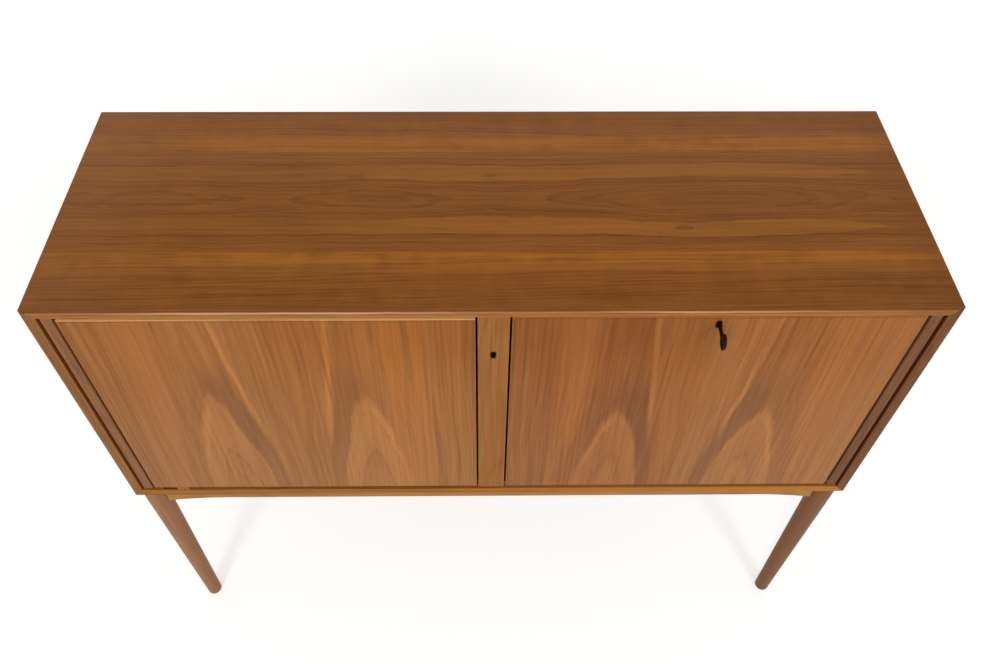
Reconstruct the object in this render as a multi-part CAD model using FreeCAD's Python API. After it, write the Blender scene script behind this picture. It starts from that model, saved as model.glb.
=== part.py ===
import FreeCAD, Part
import math
import os
from FreeCAD import Vector

# A free-standing bar cabinet on a turned-leg underframe: a mitred carcass with a
# side-hung door on the left, a drop-front bar flap on the right and a locking
# stile between them. Millimetres. X runs along the front, -Y is the front, Z up.
# The origin is on the floor, under the middle of the whole object's box.

# Overall sizes
width = 1200.0
depth = 400.0
case_height = 485.0
leg_length = 450.0

# Carcass boards
board = 16.0
edge_strip = 4.0
edge_round = 1.2
spline_width = 12.0
spline_thick = 3.5
spline_stop = 30.0
spline_place = 0.6
back_thick = 6.0
back_rebate = 8.0
back_inset = 1.0
back_play = 0.25
housing = 4.0

# Uprights of the front and the sill that they stand on
partition_thick = 16.0
stile_width = 42.0
stile_recess = 0.5
stile_round = 0.8
jamb_strip = 15.0
jamb_groove = 4.0
jamb_groove_depth = 9.0
jamb_depth = 30.0
jamb_recess = 1.0
jamb_round = 2.0
sill_height = 7.0
sill_setback = 14.0
sill_width = 30.0

# Shelves and the pins that hold them
shelf_thick = 16.0
shelf_play = 1.0
shelf_setback = 12.0
left_shelf_height = 222.0
bar_shelf_height = 236.0
bar_shelf_depth = 180.0
shelf_round = 1.0
pin_radius = 2.5
pin_in = 6.0
pin_out = 8.0
pin_margin = 35.0

# Door and flap
door_thick = 18.0
door_strip = 3.0
door_round = 0.8
stile_gap = 3.0
jamb_gap = 5.0
left_door_proud = 0.5
left_door_top_gap = 3.5
left_door_bottom_gap = 11.0
flap_recess = 1.0
flap_top_gap = 1.5
flap_bottom_gap = 8.0
stop_length = 40.0
stop_depth = 20.0
stop_height = 12.0
stop_margin = 45.0
stop_clear = 0.4
rest_width = 20.0
rest_depth = 12.0
rest_from_edge = 35.0
rest_clear = 0.5

# Pivot hinges
pivot_radius = 2.5
pivot_clear = 0.05
collar_clear = 0.3
collar_radius = 3.5
pivot_post = 5.0
pin_end = 1.0
door_pivot_in = 8.0
door_pivot_back = 8.0
door_leaf_length = 32.0
door_leaf_width = 9.0
door_leaf_thick = 3.0
flap_pivot_up = 6.0
flap_pivot_back = 5.0
flap_leaf_length = 34.0
flap_leaf_width = 8.0
flap_leaf_thick = 2.5
flap_plate_length = 9.5

# Locks, escutcheons and the key
lock_width = 40.0
lock_depth = 11.0
lock_below = 12.0
lock_wall = 1.5
bit_room = 3.5
bit_clear = 0.5
bolt_width = 18.0
bolt_thick = 3.0
bolt_tail = 4.0
bolt_clear = 0.3
bolt_throw = 6.0
keeper_thick = 1.5
keeper_border = 4.0
keeper_spare = 1.0
stile_key_drop = 94.0
flap_key_drop = 13.0
plate_width = 8.0
plate_height = 15.0
plate_thick = 1.5
plate_proud = 0.3
plate_drop = 2.0
keyhole_slot = 3.0
keyhole_drop = 7.0
key_reach = 40.0
key_shaft = 2.5
key_play = 0.3
key_bit_width = 2.0
key_bit_length = 2.5
key_collar = 3.7
key_collar_length = 2.5
bow_long = 10.0
bow_tall = 11.5
bow_thick = 3.2
bow_rim = 5.5

# Flap stays
stay_radius = 150.0
stay_lead = 30.0
stay_standoff = 12.0
stay_thick = 3.0
stay_width = 14.0
stay_side = 1.0
stay_spare = 4.0
stud_radius = 2.5
stud_play = 0.3
stud_head = 5.0
stud_head_thick = 2.0
stud_gap = 0.5
block_size = 40.0
block_round = 2.0
bracket_length = 28.0
bracket_thick = 2.5
bracket_width = 12.0

# Underframe
leg_top_radius = 20.0
leg_foot_radius = 13.2
leg_foot_round = 2.0
leg_side_inset = 2.8
leg_front_inset = 1.5
rail_thick = 20.0
rail_height = 31.0
rail_arch = 9.5
long_arch_length = 100.0
side_arch_length = 75.0
tenon_length = 14.0
tenon_thick = 9.0
tenon_shoulder = 5.0
brace_near = 30.0
brace_far = 75.0
brace_height = 22.0

# Angles, and how near two places must be to count as one
open_angle = 90.0
mitre_angle = 45.0
right_angle = 90.0
same_place = 0.001

# Planes that several pieces share
half = width / 2
front = -(depth - key_reach) / 2
back = front + depth
case_top = leg_length + case_height
floor = leg_length + board
ceiling = case_top - board
side_face = half - board
back_face = back - back_inset - back_thick
sill_top = floor + sill_height
stile_front = front + stile_recess
stile_back = stile_front + board
jamb_face = side_face - jamb_groove - jamb_strip
stile_face = stile_width / 2
opening_near = stile_face + stile_gap
opening_far = jamb_face - jamb_gap


def box(x0, x1, y0, y1, z0, z1):
    return Part.makeBox(x1 - x0, y1 - y0, z1 - z0, Vector(x0, y0, z0))


def polygon(points):
    return Part.Face(Part.makePolygon(points + points[:1]))


def rod(start, direction, radius, length):
    return Part.makeCylinder(radius, length, start, direction)


def oblong(start, end, radius, thickness):
    # A flat bar with round ends about two centres, thickened along a vector.
    along = (end - start).normalize()
    side = along.cross(thickness).normalize() * radius
    tip = along * radius
    edges = [
        Part.LineSegment(start + side, end + side),
        Part.Arc(end + side, end + tip, end - side),
        Part.LineSegment(end - side, start - side),
        Part.Arc(start - side, start - tip, start + side),
    ]
    wire = Part.Wire([edge.toShape() for edge in edges])
    return Part.Face(wire).extrude(thickness)


def tongue(start, end, radius, thickness):
    # A flat bar with a round end at the start and a square one at the end.
    along = (end - start).normalize()
    side = along.cross(thickness).normalize() * radius
    tip = along * radius
    edges = [
        Part.LineSegment(start + side, end + side),
        Part.LineSegment(end + side, end - side),
        Part.LineSegment(end - side, start - side),
        Part.Arc(start - side, start - tip, start + side),
    ]
    wire = Part.Wire([edge.toShape() for edge in edges])
    return Part.Face(wire).extrude(thickness)


def ends(edge):
    return [vertex.Point for vertex in edge.Vertexes]


def front_edges(solid, y):
    # The upright and the level straight edges that lie in the plane y.
    upright = []
    level = []
    for edge in solid.Edges:
        points = ends(edge)
        if len(points) < 2 or any(abs(point.y - y) > same_place for point in points):
            continue
        run = points[1] - points[0]
        if abs(run.x) < same_place:
            upright.append(edge)
        elif abs(run.z) < same_place:
            level.append(edge)
    return upright, level


def round_front(solid, y, radius):
    upright, level = front_edges(solid, y)
    return solid.makeFillet(radius, upright + level)


def round_uprights(solid, y, radius):
    upright, level = front_edges(solid, y)
    return solid.makeFillet(radius, upright)


def mitred_frame(x0, x1, z0, z1, thick, y0, y1):
    # Four members with mitred ends: top, bottom, left and right.
    outer = [(x0, z1), (x1, z1), (x1, z0), (x0, z0)]
    inner = [
        (x0 + thick, z1 - thick),
        (x1 - thick, z1 - thick),
        (x1 - thick, z0 + thick),
        (x0 + thick, z0 + thick),
    ]
    members = []
    for first, second in ((0, 1), (2, 3), (3, 0), (1, 2)):
        corners = [outer[first], outer[second], inner[second], inner[first]]
        face = polygon([Vector(x, y0, z) for x, z in corners])
        members.append(face.extrude(Vector(0, y1 - y0, 0)))
    return members


def rounded_members(x0, x1, z0, z1, thick, y0, y1, radius):
    return [round_front(m, y0, radius) for m in mitred_frame(x0, x1, z0, z1, thick, y0, y1)]


def cut_all(solid, tools):
    for tool in tools:
        solid = solid.cut(tool)
    return solid


def carcass_splines():
    # Loose tongues across the four mitres, stopped short of front and back.
    splines = []
    run = depth - edge_strip - back_inset - back_thick - 2 * spline_stop
    for side in (-1, 1):
        for corner_z, up in ((leg_length, 1), (case_top, -1)):
            tongue_box = Part.makeBox(spline_width, run, spline_thick)
            tongue_box.translate(Vector(-spline_width / 2, 0, -spline_thick / 2))
            tongue_box.rotate(Vector(0, 0, 0), Vector(0, 1, 0), -mitre_angle * side * up)
            tongue_box.translate(
                Vector(
                    side * (half - spline_place * board),
                    front + edge_strip + spline_stop,
                    corner_z + up * spline_place * board,
                )
            )
            splines.append(tongue_box)
    return splines


def back_panel():
    reach = back_rebate - back_play
    return box(
        -side_face - reach,
        side_face + reach,
        back_face,
        back_face + back_thick,
        floor - reach,
        ceiling + reach,
    )


def rebate_tool():
    return box(
        -side_face - back_rebate,
        side_face + back_rebate,
        back_face,
        back,
        floor - back_rebate,
        ceiling + back_rebate,
    )


def partition_blank():
    return box(
        -partition_thick / 2,
        partition_thick / 2,
        stile_back,
        back_face,
        floor - housing,
        ceiling + housing,
    )


def sill():
    y0 = front + sill_setback
    return box(-side_face, side_face, y0, y0 + sill_width, floor, sill_top)


def stile_blank():
    blank = box(-stile_face, stile_face, stile_front, stile_back, sill_top, ceiling)
    return round_front(blank, stile_front, stile_round)


def jamb(side):
    # An upright beside each side board: a rounded strip with a shadow groove outside it.
    outer = side * side_face
    inner = side * jamb_face
    y0 = front + jamb_recess
    x0, x1 = sorted((outer, inner))
    post = box(x0, x1, y0, y0 + jamb_depth, sill_top, ceiling)
    strip_edge = inner + side * jamb_strip
    g0, g1 = sorted((strip_edge, outer))
    groove = box(g0, g1, y0, y0 + jamb_groove_depth, sill_top, ceiling)
    return round_uprights(post.cut(groove), y0, jamb_round)


def shelf(x0, x1, y0, z0):
    slab = box(x0, x1, y0, back_face - shelf_play, z0, z0 + shelf_thick)
    return round_front(slab, y0, shelf_round)


def shelf_pins(wall_left, wall_right, y0, z0):
    # Two pins in each wall, their tops under the shelf.
    pins = []
    y1 = back_face - shelf_play
    for y in (y0 + pin_margin, y1 - pin_margin):
        for wall, way in ((wall_left, 1), (wall_right, -1)):
            start = Vector(wall - way * pin_in, y, z0 - pin_radius)
            pins.append(rod(start, Vector(way, 0, 0), pin_radius, pin_in + pin_out))
    return pins


# Door and flap outlines: x0, x1, y0, y1, z0, z1
left_door_box = (
    -opening_far,
    -opening_near,
    front - left_door_proud,
    front - left_door_proud + door_thick,
    floor + left_door_bottom_gap,
    ceiling - left_door_top_gap,
)
flap_box = (
    opening_near,
    opening_far,
    front + flap_recess,
    front + flap_recess + door_thick,
    floor + flap_bottom_gap,
    ceiling - flap_top_gap,
)

# Axes of the hinges, locks and stays
door_pivot = Vector(left_door_box[0] + door_pivot_in, left_door_box[2] + door_pivot_back, 0)
flap_pivot = Vector(0, flap_box[2] + flap_pivot_back, flap_box[4] + flap_pivot_up)
stile_keyhole = Vector(0, stile_front, case_top - stile_key_drop)
flap_middle = (flap_box[0] + flap_box[1]) / 2
flap_keyhole = Vector(flap_middle, flap_box[2], flap_box[5] - flap_key_drop)
stay_out = door_thick - flap_pivot_back + stay_standoff
stay_start = math.asin(stay_out / stay_radius)
stay_fixed = stay_start + math.radians(stay_lead)


def on_stay_circle(angle):
    # A point at the stay radius from the flap's axis, turned back from upright.
    reach = stay_radius * math.sin(angle)
    rise = stay_radius * math.cos(angle)
    return Vector(0, flap_pivot.y + reach, flap_pivot.z + rise)


stay_pin = on_stay_circle(stay_start)
stay_stud = on_stay_circle(stay_fixed)
stay_closed = 2 * stay_radius * math.sin(math.radians(stay_lead) / 2)
stay_open = 2 * stay_radius * math.sin(math.radians(stay_lead + open_angle) / 2)


def panel_and_strips(outline):
    # A veneered panel with a mitred solid strip on all four edges.
    x0, x1, y0, y1, z0, z1 = outline
    core = box(
        x0 + door_strip, x1 - door_strip, y0, y1, z0 + door_strip, z1 - door_strip
    )
    strips = rounded_members(x0, x1, z0, z1, door_strip, y0, y1, door_round)
    return core, strips


def door_leaves():
    # Plates let flush into the top and bottom edges of the left door, bored for the pins.
    length = Vector(door_leaf_length, 0, 0)
    radius = door_leaf_width / 2
    up = Vector(0, 0, door_leaf_thick)
    top_low = left_door_box[5] - door_leaf_thick
    leaves = []
    for z in (top_low, left_door_box[4]):
        start = Vector(door_pivot.x, door_pivot.y, z)
        plate = tongue(start, start + length, radius, up)
        hole = rod(start, Vector(0, 0, 1), pivot_radius + pivot_clear, door_leaf_thick)
        leaves.append((plate, plate.cut(hole)))
    return leaves


def pin_rooms():
    # Clearance in the door's edge beyond each leaf, where the pin's end turns.
    radius = pivot_radius + collar_clear
    room = pin_end + collar_clear
    top_low = left_door_box[5] - door_leaf_thick
    low_high = left_door_box[4] + door_leaf_thick
    centre = Vector(door_pivot.x, door_pivot.y, 0)
    return [
        rod(centre + Vector(0, 0, top_low - room), Vector(0, 0, 1), radius, room),
        rod(centre + Vector(0, 0, low_high), Vector(0, 0, 1), radius, room),
    ]


def upper_pivot():
    # A plate let flush into the underside of the top, with a collar and a pin that point down.
    start = Vector(door_pivot.x, door_pivot.y, ceiling)
    length = Vector(door_leaf_length, 0, 0)
    plate = tongue(start, start + length, door_leaf_width / 2, Vector(0, 0, door_leaf_thick))
    down = Vector(0, 0, -1)
    collar = rod(start, down, collar_radius, left_door_top_gap - collar_clear)
    pin = rod(start, down, pivot_radius, left_door_top_gap + door_leaf_thick + pin_end)
    return plate, plate.fuse([collar, pin]).removeSplitter()


def lower_pivot():
    # A plate let flush into the floor board, with a post that carries the door.
    start = Vector(door_pivot.x, door_pivot.y, floor - door_leaf_thick)
    length = Vector(door_leaf_length, 0, 0)
    plate = tongue(start, start + length, door_leaf_width / 2, Vector(0, 0, door_leaf_thick))
    up = Vector(0, 0, 1)
    foot = Vector(door_pivot.x, door_pivot.y, floor)
    rise = left_door_bottom_gap - collar_clear
    post = rod(foot, up, pivot_post, rise)
    pin = rod(foot, up, pivot_radius, left_door_bottom_gap + door_leaf_thick + pin_end)
    return plate, plate.fuse([post, pin]).removeSplitter()


def flap_leaf(end):
    # A plate let flush into an end of the flap, reaching up from the pivot.
    edge = flap_box[0] if end < 0 else flap_box[1]
    start = Vector(edge, flap_pivot.y, flap_pivot.z)
    top = start + Vector(0, 0, flap_leaf_length)
    inward = Vector(-end * flap_leaf_thick, 0, 0)
    plate = tongue(start, top, flap_leaf_width / 2, inward)
    hole = rod(start, inward, pivot_radius + pivot_clear, flap_leaf_thick)
    beyond = start + inward
    room = rod(beyond, inward, pivot_radius + collar_clear, pin_end + collar_clear)
    return plate, plate.cut(hole), room


def flap_pivot_plate(end):
    # A plate let flush into the stile or the jamb, with a collar and the pin of the flap.
    wall, gap = (stile_face, stile_gap) if end < 0 else (jamb_face, jamb_gap)
    start = Vector(wall, flap_pivot.y, flap_pivot.z)
    rear = start + Vector(0, flap_plate_length, 0)
    outward = Vector(end * flap_leaf_thick, 0, 0)
    plate = tongue(start, rear, flap_leaf_width / 2, outward)
    way = Vector(-end, 0, 0)
    collar = rod(start, way, collar_radius, gap - collar_clear)
    pin = rod(start, way, pivot_radius, gap + flap_leaf_thick + pin_end)
    return plate, plate.fuse([collar, pin]).removeSplitter()


def turned(shape, sideways):
    # Locks are drawn with the bolt upwards; the stile's lock shoots to the left.
    if sideways:
        shape.rotate(Vector(0, 0, 0), Vector(0, 1, 0), -right_angle)
    return shape


def lock_body(thick, backset, sideways):
    # A case let in from behind: the key turns in a round room, the bolt runs in a slot.
    y0 = thick - lock_depth
    case = box(-lock_width / 2, lock_width / 2, y0, thick, -lock_below, backset)
    room_radius = lock_below - lock_wall - bit_clear
    into = Vector(0, 1, 0)
    room = rod(Vector(0, y0 + lock_wall, 0), into, room_radius, bit_room)
    mouth = rod(Vector(0, y0, 0), into, key_shaft + key_play, lock_wall)
    slot_low = y0 + lock_wall + bit_room + lock_wall - bolt_clear
    slot = box(
        -bolt_width / 2 - bolt_clear,
        bolt_width / 2 + bolt_clear,
        slot_low,
        slot_low + bolt_thick + 2 * bolt_clear,
        -bolt_tail - bolt_clear,
        backset,
    )
    solid = cut_all(case, [room, mouth, slot])
    return turned(case, sideways), turned(solid, sideways)


def lock_bolt(thick, backset, sideways):
    y0 = thick - lock_depth + lock_wall + bit_room + lock_wall
    bolt = box(-bolt_width / 2, bolt_width / 2, y0, y0 + bolt_thick, -bolt_tail, backset)
    return turned(bolt, sideways)


def lock_keeper(thick, backset, gap, sideways):
    # The flush keeper plate, its slot and the pocket that the bolt shoots into.
    y0 = thick - lock_depth + lock_wall + bit_room + lock_wall
    low = backset + gap
    plate = box(
        -lock_width / 2,
        lock_width / 2,
        y0 - keeper_border,
        y0 + bolt_thick + keeper_border / 2,
        low,
        low + keeper_thick,
    )
    pocket = box(
        -bolt_width / 2 - keeper_spare,
        bolt_width / 2 + keeper_spare,
        y0 - bolt_clear,
        y0 + bolt_thick + bolt_clear,
        low,
        backset + bolt_throw + keeper_spare,
    )
    solid = plate.cut(pocket)
    return turned(plate, sideways), turned(solid, sideways), turned(pocket, sideways)


def keyhole_tool(y0, y1):
    # A round hole with a slot below it, along Y.
    into = Vector(0, 1, 0)
    round_part = rod(Vector(0, y0, 0), into, key_shaft + key_play, y1 - y0)
    slot = box(-keyhole_slot / 2, keyhole_slot / 2, y0, y1, -keyhole_drop, 0)
    return round_part.fuse(slot).removeSplitter()


def escutcheon():
    # An oblong plate let into the face, standing just proud of it.
    half_run = (plate_height - plate_width) / 2
    middle = Vector(0, -plate_proud, -plate_drop)
    run = Vector(0, 0, half_run)
    plate = oblong(middle - run, middle + run, plate_width / 2, Vector(0, plate_thick, 0))
    return plate, plate.cut(keyhole_tool(-plate_proud, plate_thick))


def ellipse_plate(centre, long_radius, tall_radius, thick):
    curve = Part.Ellipse(Vector(0, 0, 0), tall_radius, long_radius)
    face = Part.Face(Part.Wire([curve.toShape()]))
    plate = face.extrude(Vector(0, 0, thick))
    plate.rotate(Vector(0, 0, 0), Vector(0, 1, 0), -right_angle)
    plate.translate(centre + Vector(thick / 2, 0, 0))
    return plate


def key():
    # Shaft, collar, bit and an oval bow that stands upright.
    tip = front - key_reach - flap_box[2]
    y_end = door_thick - lock_depth + lock_wall + bit_room - bit_clear
    bow_centre = Vector(0, tip + bow_long, 0)
    into = Vector(0, 1, 0)
    shaft_start = tip + 2 * bow_long - bow_rim / 2
    shaft = rod(Vector(0, shaft_start, 0), into, key_shaft, y_end - shaft_start)
    collar_end = -plate_proud - key_collar_length
    collar = rod(
        Vector(0, collar_end - key_collar_length, 0), into, key_collar, key_collar_length
    )
    bit_low = -(lock_below - lock_wall - 2 * bit_clear)
    bit = box(
        -key_bit_width / 2, key_bit_width / 2, y_end - key_bit_length, y_end, bit_low, 0
    )
    bow = ellipse_plate(bow_centre, bow_long, bow_tall, bow_thick)
    eye = ellipse_plate(bow_centre, bow_long - bow_rim, bow_tall - bow_rim, bow_thick)
    return shaft.fuse([collar, bit, bow.cut(eye)]).removeSplitter()


def stay_plane(end):
    # The face of the stay arm that looks towards the middle of the flap.
    edge = flap_box[0] if end < 0 else flap_box[1]
    return edge - end * (stay_side + stay_thick)


def stay_arm(end):
    # A flat arm: bored for the flap's pin at one end, slotted for the carcass stud.
    x = stay_plane(end)
    start = Vector(x, stay_pin.y, stay_pin.z)
    target = Vector(x, stay_stud.y, stay_stud.z)
    along = (target - start).normalize()
    thickness = Vector(end * stay_thick, 0, 0)
    far = start + along * (stay_open + stay_spare)
    arm = oblong(start, far, stay_width / 2, thickness)
    hole = rod(start, thickness, pivot_radius + pivot_clear, stay_thick)
    near_slot = start + along * (stay_closed - stay_spare)
    slot = oblong(near_slot, far, stud_radius + stud_play, thickness)
    return arm.cut(hole).cut(slot)


def stay_block(end):
    # A packing block on the wall of the bar compartment, to bring the stud in line.
    wall = partition_thick / 2 if end < 0 else side_face
    face = stay_plane(end) + end * (stay_thick + stud_gap)
    x0, x1 = sorted((wall, face))
    reach = block_size / 2
    y, z = stay_stud.y, stay_stud.z
    block = box(x0, x1, y - reach, y + reach, z - reach, z + reach)
    sides = [edge for edge in block.Edges if abs(ends(edge)[0].x - ends(edge)[1].x) > same_place]
    return block.makeFillet(block_round, sides)


def stud_on(end, base_x, y, z, radius):
    # A shouldered stud that points from a base plane to past the stay arm.
    inward = Vector(-end, 0, 0)
    reach = abs(base_x - stay_plane(end)) + stud_gap
    shank = rod(Vector(base_x, y, z), inward, radius, reach)
    head = rod(Vector(base_x - end * reach, y, z), inward, stud_head, stud_head_thick)
    return shank.fuse(head).removeSplitter()


def carcass_stud(end):
    # Screwed into the packing block: its tail is in the block, its head inside the arm.
    face = stay_plane(end) + end * (stay_thick + stud_gap + block_round)
    return stud_on(end, face, stay_stud.y, stay_stud.z, stud_radius)


def stay_bracket(end):
    # An angle on the flap's inner face, with the pin that carries the stay arm.
    x = stay_plane(end) - end * stud_gap
    inner_face = flap_box[3]
    x0, x1 = sorted((x, x - end * bracket_thick))
    f0, f1 = sorted((x, x - end * bracket_width))
    z0 = stay_pin.z - bracket_length / 2
    z1 = stay_pin.z + bracket_length / 2
    foot = box(f0, f1, inner_face, inner_face + bracket_thick, z0, z1)
    ear_width = stay_width / 2
    ear_start = Vector(x, inner_face, stay_pin.z)
    centre = Vector(x, stay_pin.y, stay_pin.z)
    inward = Vector(-end * bracket_thick, 0, 0)
    ear = tongue(centre, ear_start, ear_width, inward)
    outward = Vector(end, 0, 0)
    reach = stay_thick + 2 * stud_gap
    pin = rod(centre, outward, pivot_radius, reach)
    return foot.fuse([ear, pin]).removeSplitter()


def door_stops():
    # Small blocks under the top, just behind the door and the flap.
    places = [
        (-opening_near - stop_margin - stop_length, left_door_box[3]),
        (opening_near + stop_margin, flap_box[3]),
        (opening_far - stop_margin - stop_length, flap_box[3]),
    ]
    stops = []
    for x, rear in places:
        y = rear + stop_clear
        stops.append(box(x, x + stop_length, y, y + stop_depth, ceiling - stop_height, ceiling))
    return stops


def door_rest():
    # A slip of wood on the floor board that takes the weight of the closed door.
    x = left_door_box[0] + rest_from_edge
    y = front + edge_round
    top = left_door_box[4] - rest_clear
    return box(x, x + rest_width, y, y + rest_depth, floor, top)


leg_x = half - leg_side_inset - leg_top_radius
leg_front_y = front + leg_front_inset + leg_top_radius
leg_back_y = back - leg_front_inset - leg_top_radius


def leg(x, y):
    # A turned leg that tapers evenly to the foot.
    shaft = Part.makeCone(leg_foot_radius, leg_top_radius, leg_length, Vector(x, y, 0))
    rim = [
        edge
        for edge in shaft.Edges
        if all(abs(point.z) < same_place for point in ends(edge)) and edge.Length > leg_foot_radius
    ]
    return shaft.makeFillet(leg_foot_round, rim)


def arch_curve(x_shoulder, x_level, z_low, z_high):
    # A quarter-like rise from the shoulder that meets the level middle smoothly.
    run = x_level - x_shoulder
    rise = z_high - z_low
    radius = (run * run + rise * rise) / (2 * rise)
    centre_z = z_high - radius
    half_angle = math.asin(abs(run) / radius) / 2
    way = math.copysign(1, run)
    middle = Vector(
        x_level - way * radius * math.sin(half_angle),
        0,
        centre_z + radius * math.cos(half_angle),
    )
    return Part.Arc(Vector(x_shoulder, 0, z_low), middle, Vector(x_level, 0, z_high)).toShape()


def rail(span, arch_length):
    # A rail along X about the origin, top at z = 0, with a tenon at each end.
    shoulder = span / 2 - leg_top_radius
    level = shoulder - arch_length
    low = -rail_height - rail_arch
    corners = [Vector(-shoulder, 0, low), Vector(-shoulder, 0, 0)]
    corners += [Vector(shoulder, 0, 0), Vector(shoulder, 0, low)]
    edges = [Part.makeLine(a, b) for a, b in zip(corners, corners[1:])]
    edges.append(arch_curve(shoulder, level, low, -rail_height))
    edges.append(Part.makeLine(Vector(level, 0, -rail_height), Vector(-level, 0, -rail_height)))
    edges.append(arch_curve(-shoulder, -level, low, -rail_height))
    profile = Part.Face(Part.Wire(edges))
    body = profile.extrude(Vector(0, rail_thick, 0))
    body.translate(Vector(0, -rail_thick / 2, 0))
    reach = shoulder + tenon_length
    tenon = box(
        -reach,
        reach,
        -tenon_thick / 2,
        tenon_thick / 2,
        low + tenon_shoulder,
        -tenon_shoulder,
    )
    return body.fuse(tenon).removeSplitter()


def long_rail(y):
    piece = rail(2 * leg_x, long_arch_length)
    piece.translate(Vector(0, y, leg_length))
    return piece


def side_rail(x):
    piece = rail(leg_back_y - leg_front_y, side_arch_length)
    piece.rotate(Vector(0, 0, 0), Vector(0, 0, 1), right_angle)
    piece.translate(Vector(x, (leg_front_y + leg_back_y) / 2, leg_length))
    return piece


def corner_brace(x, y, way_x, way_y):
    # A diagonal block between two rails, clear of the leg.
    inner = rail_thick / 2
    corners = [(brace_near, inner), (brace_far, inner), (inner, brace_far), (inner, brace_near)]
    z0 = leg_length - brace_height
    points = [Vector(x + way_x * dx, y + way_y * dy, z0) for dx, dy in corners]
    return polygon(points).extrude(Vector(0, 0, brace_height))


def build_underframe(parts):
    # Four turned legs, four rails tenoned into them and a brace in each corner.
    rails = {
        "front_rail": long_rail(leg_front_y),
        "back_rail": long_rail(leg_back_y),
        "left_rail": side_rail(-leg_x),
        "right_rail": side_rail(leg_x),
    }
    for row, y, way_y in (("front", leg_front_y, 1), ("back", leg_back_y, -1)):
        for name, x, way_x in (("left", -leg_x, 1), ("right", leg_x, -1)):
            tenons = [rails[row + "_rail"], rails[name + "_rail"]]
            parts[f"{row}_{name}_leg"] = cut_all(leg(x, y), tenons)
            parts[f"{row}_{name}_brace"] = corner_brace(x, y, way_x, way_y)
    parts.update(rails)


def build_carcass(parts):
    # Mitred boards with solid front strips, a rebated back and a housed partition.
    sizes = (-half, half, leg_length, case_top, board)
    names = ("top", "bottom", "left_side", "right_side")
    boards = mitred_frame(*sizes, front + edge_strip, back)
    strips = rounded_members(*sizes, front, front + edge_strip, edge_round)
    splines = carcass_splines()
    divider = partition_blank()
    pins = left_pins() + bar_pins()
    upper_seat, parts["upper_door_pivot"] = upper_pivot()
    lower_seat, parts["lower_door_pivot"] = lower_pivot()
    keeper_seat, parts["flap_keeper"], keeper_room = placed_flap_keeper()
    tools = splines + pins
    tools += [rebate_tool(), divider, upper_seat, lower_seat, keeper_seat, keeper_room]
    for name, member, strip in zip(names, boards, strips):
        parts[name + "_panel"] = cut_all(member, tools)
        parts[name + "_lipping"] = cut_all(strip, [upper_seat, lower_seat])
    parts["mitre_splines"] = splines
    parts["back_panel"] = back_panel()
    parts["sill_strip"] = sill()
    parts["partition"] = cut_all(divider, [parts["sill_strip"]] + pins)


def left_shelf_y():
    return front + jamb_recess + jamb_depth + shelf_setback


def bar_shelf_y():
    return back_face - shelf_play - bar_shelf_depth


def left_pins():
    z = floor + left_shelf_height
    return shelf_pins(-side_face, -partition_thick / 2, left_shelf_y(), z)


def bar_pins():
    z = floor + bar_shelf_height
    return shelf_pins(partition_thick / 2, side_face, bar_shelf_y(), z)


def build_shelves(parts):
    wall = partition_thick / 2 + shelf_play
    far = side_face - shelf_play
    parts["left_shelf"] = shelf(-far, -wall, left_shelf_y(), floor + left_shelf_height)
    parts["left_shelf_pins"] = left_pins()
    parts["bar_shelf"] = shelf(wall, far, bar_shelf_y(), floor + bar_shelf_height)
    parts["bar_shelf_pins"] = bar_pins()


def moved(shapes, place):
    return [shape.translated(place) for shape in shapes]


def placed_flap_keeper():
    shapes = lock_keeper(door_thick, flap_key_drop, flap_top_gap, False)
    return moved(shapes, flap_keyhole)


def build_uprights(parts):
    # The stile with its lock, and the two jambs.
    blank, case = moved(lock_body(board, stile_face, True), stile_keyhole)
    plate, escutcheon_plate = moved(escutcheon(), stile_keyhole)
    hole = keyhole_tool(0, board).translated(stile_keyhole)
    stile_seat, parts["stile_flap_pivot"] = flap_pivot_plate(-1)
    jamb_seat, parts["jamb_flap_pivot"] = flap_pivot_plate(1)
    parts["centre_stile"] = cut_all(stile_blank(), [blank, plate, hole, stile_seat])
    parts["stile_lock_case"] = case
    bolt = lock_bolt(board, stile_face, True)
    parts["stile_lock_bolt"] = bolt.translated(stile_keyhole)
    parts["stile_escutcheon"] = escutcheon_plate
    parts["left_jamb"] = jamb(-1)
    parts["right_jamb"] = cut_all(jamb(1), [jamb_seat])


def build_left_door(parts):
    core, strips = panel_and_strips(left_door_box)
    seats = []
    leaves = []
    for seat, leaf in door_leaves():
        seats.append(seat)
        leaves.append(leaf)
    keeper = lock_keeper(board, stile_face, stile_gap, True)
    keeper_seat, keeper_plate, pocket = moved(keeper, stile_keyhole)
    tools = seats + pin_rooms() + [keeper_seat, pocket]
    parts["left_door_panel"] = cut_all(core, tools)
    parts["left_door_lipping"] = [cut_all(strip, tools) for strip in strips]
    parts["left_door_leaves"] = leaves
    parts["left_door_keeper"] = keeper_plate


def build_flap(parts):
    core, strips = panel_and_strips(flap_box)
    blank, case = moved(lock_body(door_thick, flap_key_drop, False), flap_keyhole)
    plate, escutcheon_plate = moved(escutcheon(), flap_keyhole)
    hole = keyhole_tool(0, door_thick - lock_depth).translated(flap_keyhole)
    tools = [blank, plate, hole]
    leaves = []
    for end in (-1, 1):
        seat, leaf, room = flap_leaf(end)
        tools += [seat, room]
        leaves.append(leaf)
    parts["flap_panel"] = cut_all(core, tools)
    parts["flap_lipping"] = [cut_all(strip, tools) for strip in strips]
    parts["flap_leaves"] = leaves
    parts["flap_lock_case"] = case
    bolt = lock_bolt(door_thick, flap_key_drop, False)
    parts["flap_lock_bolt"] = bolt.translated(flap_keyhole)
    parts["flap_escutcheon"] = escutcheon_plate
    parts["key"] = key().translated(flap_keyhole)
    parts["stay_brackets"] = [stay_bracket(end) for end in (-1, 1)]


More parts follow.
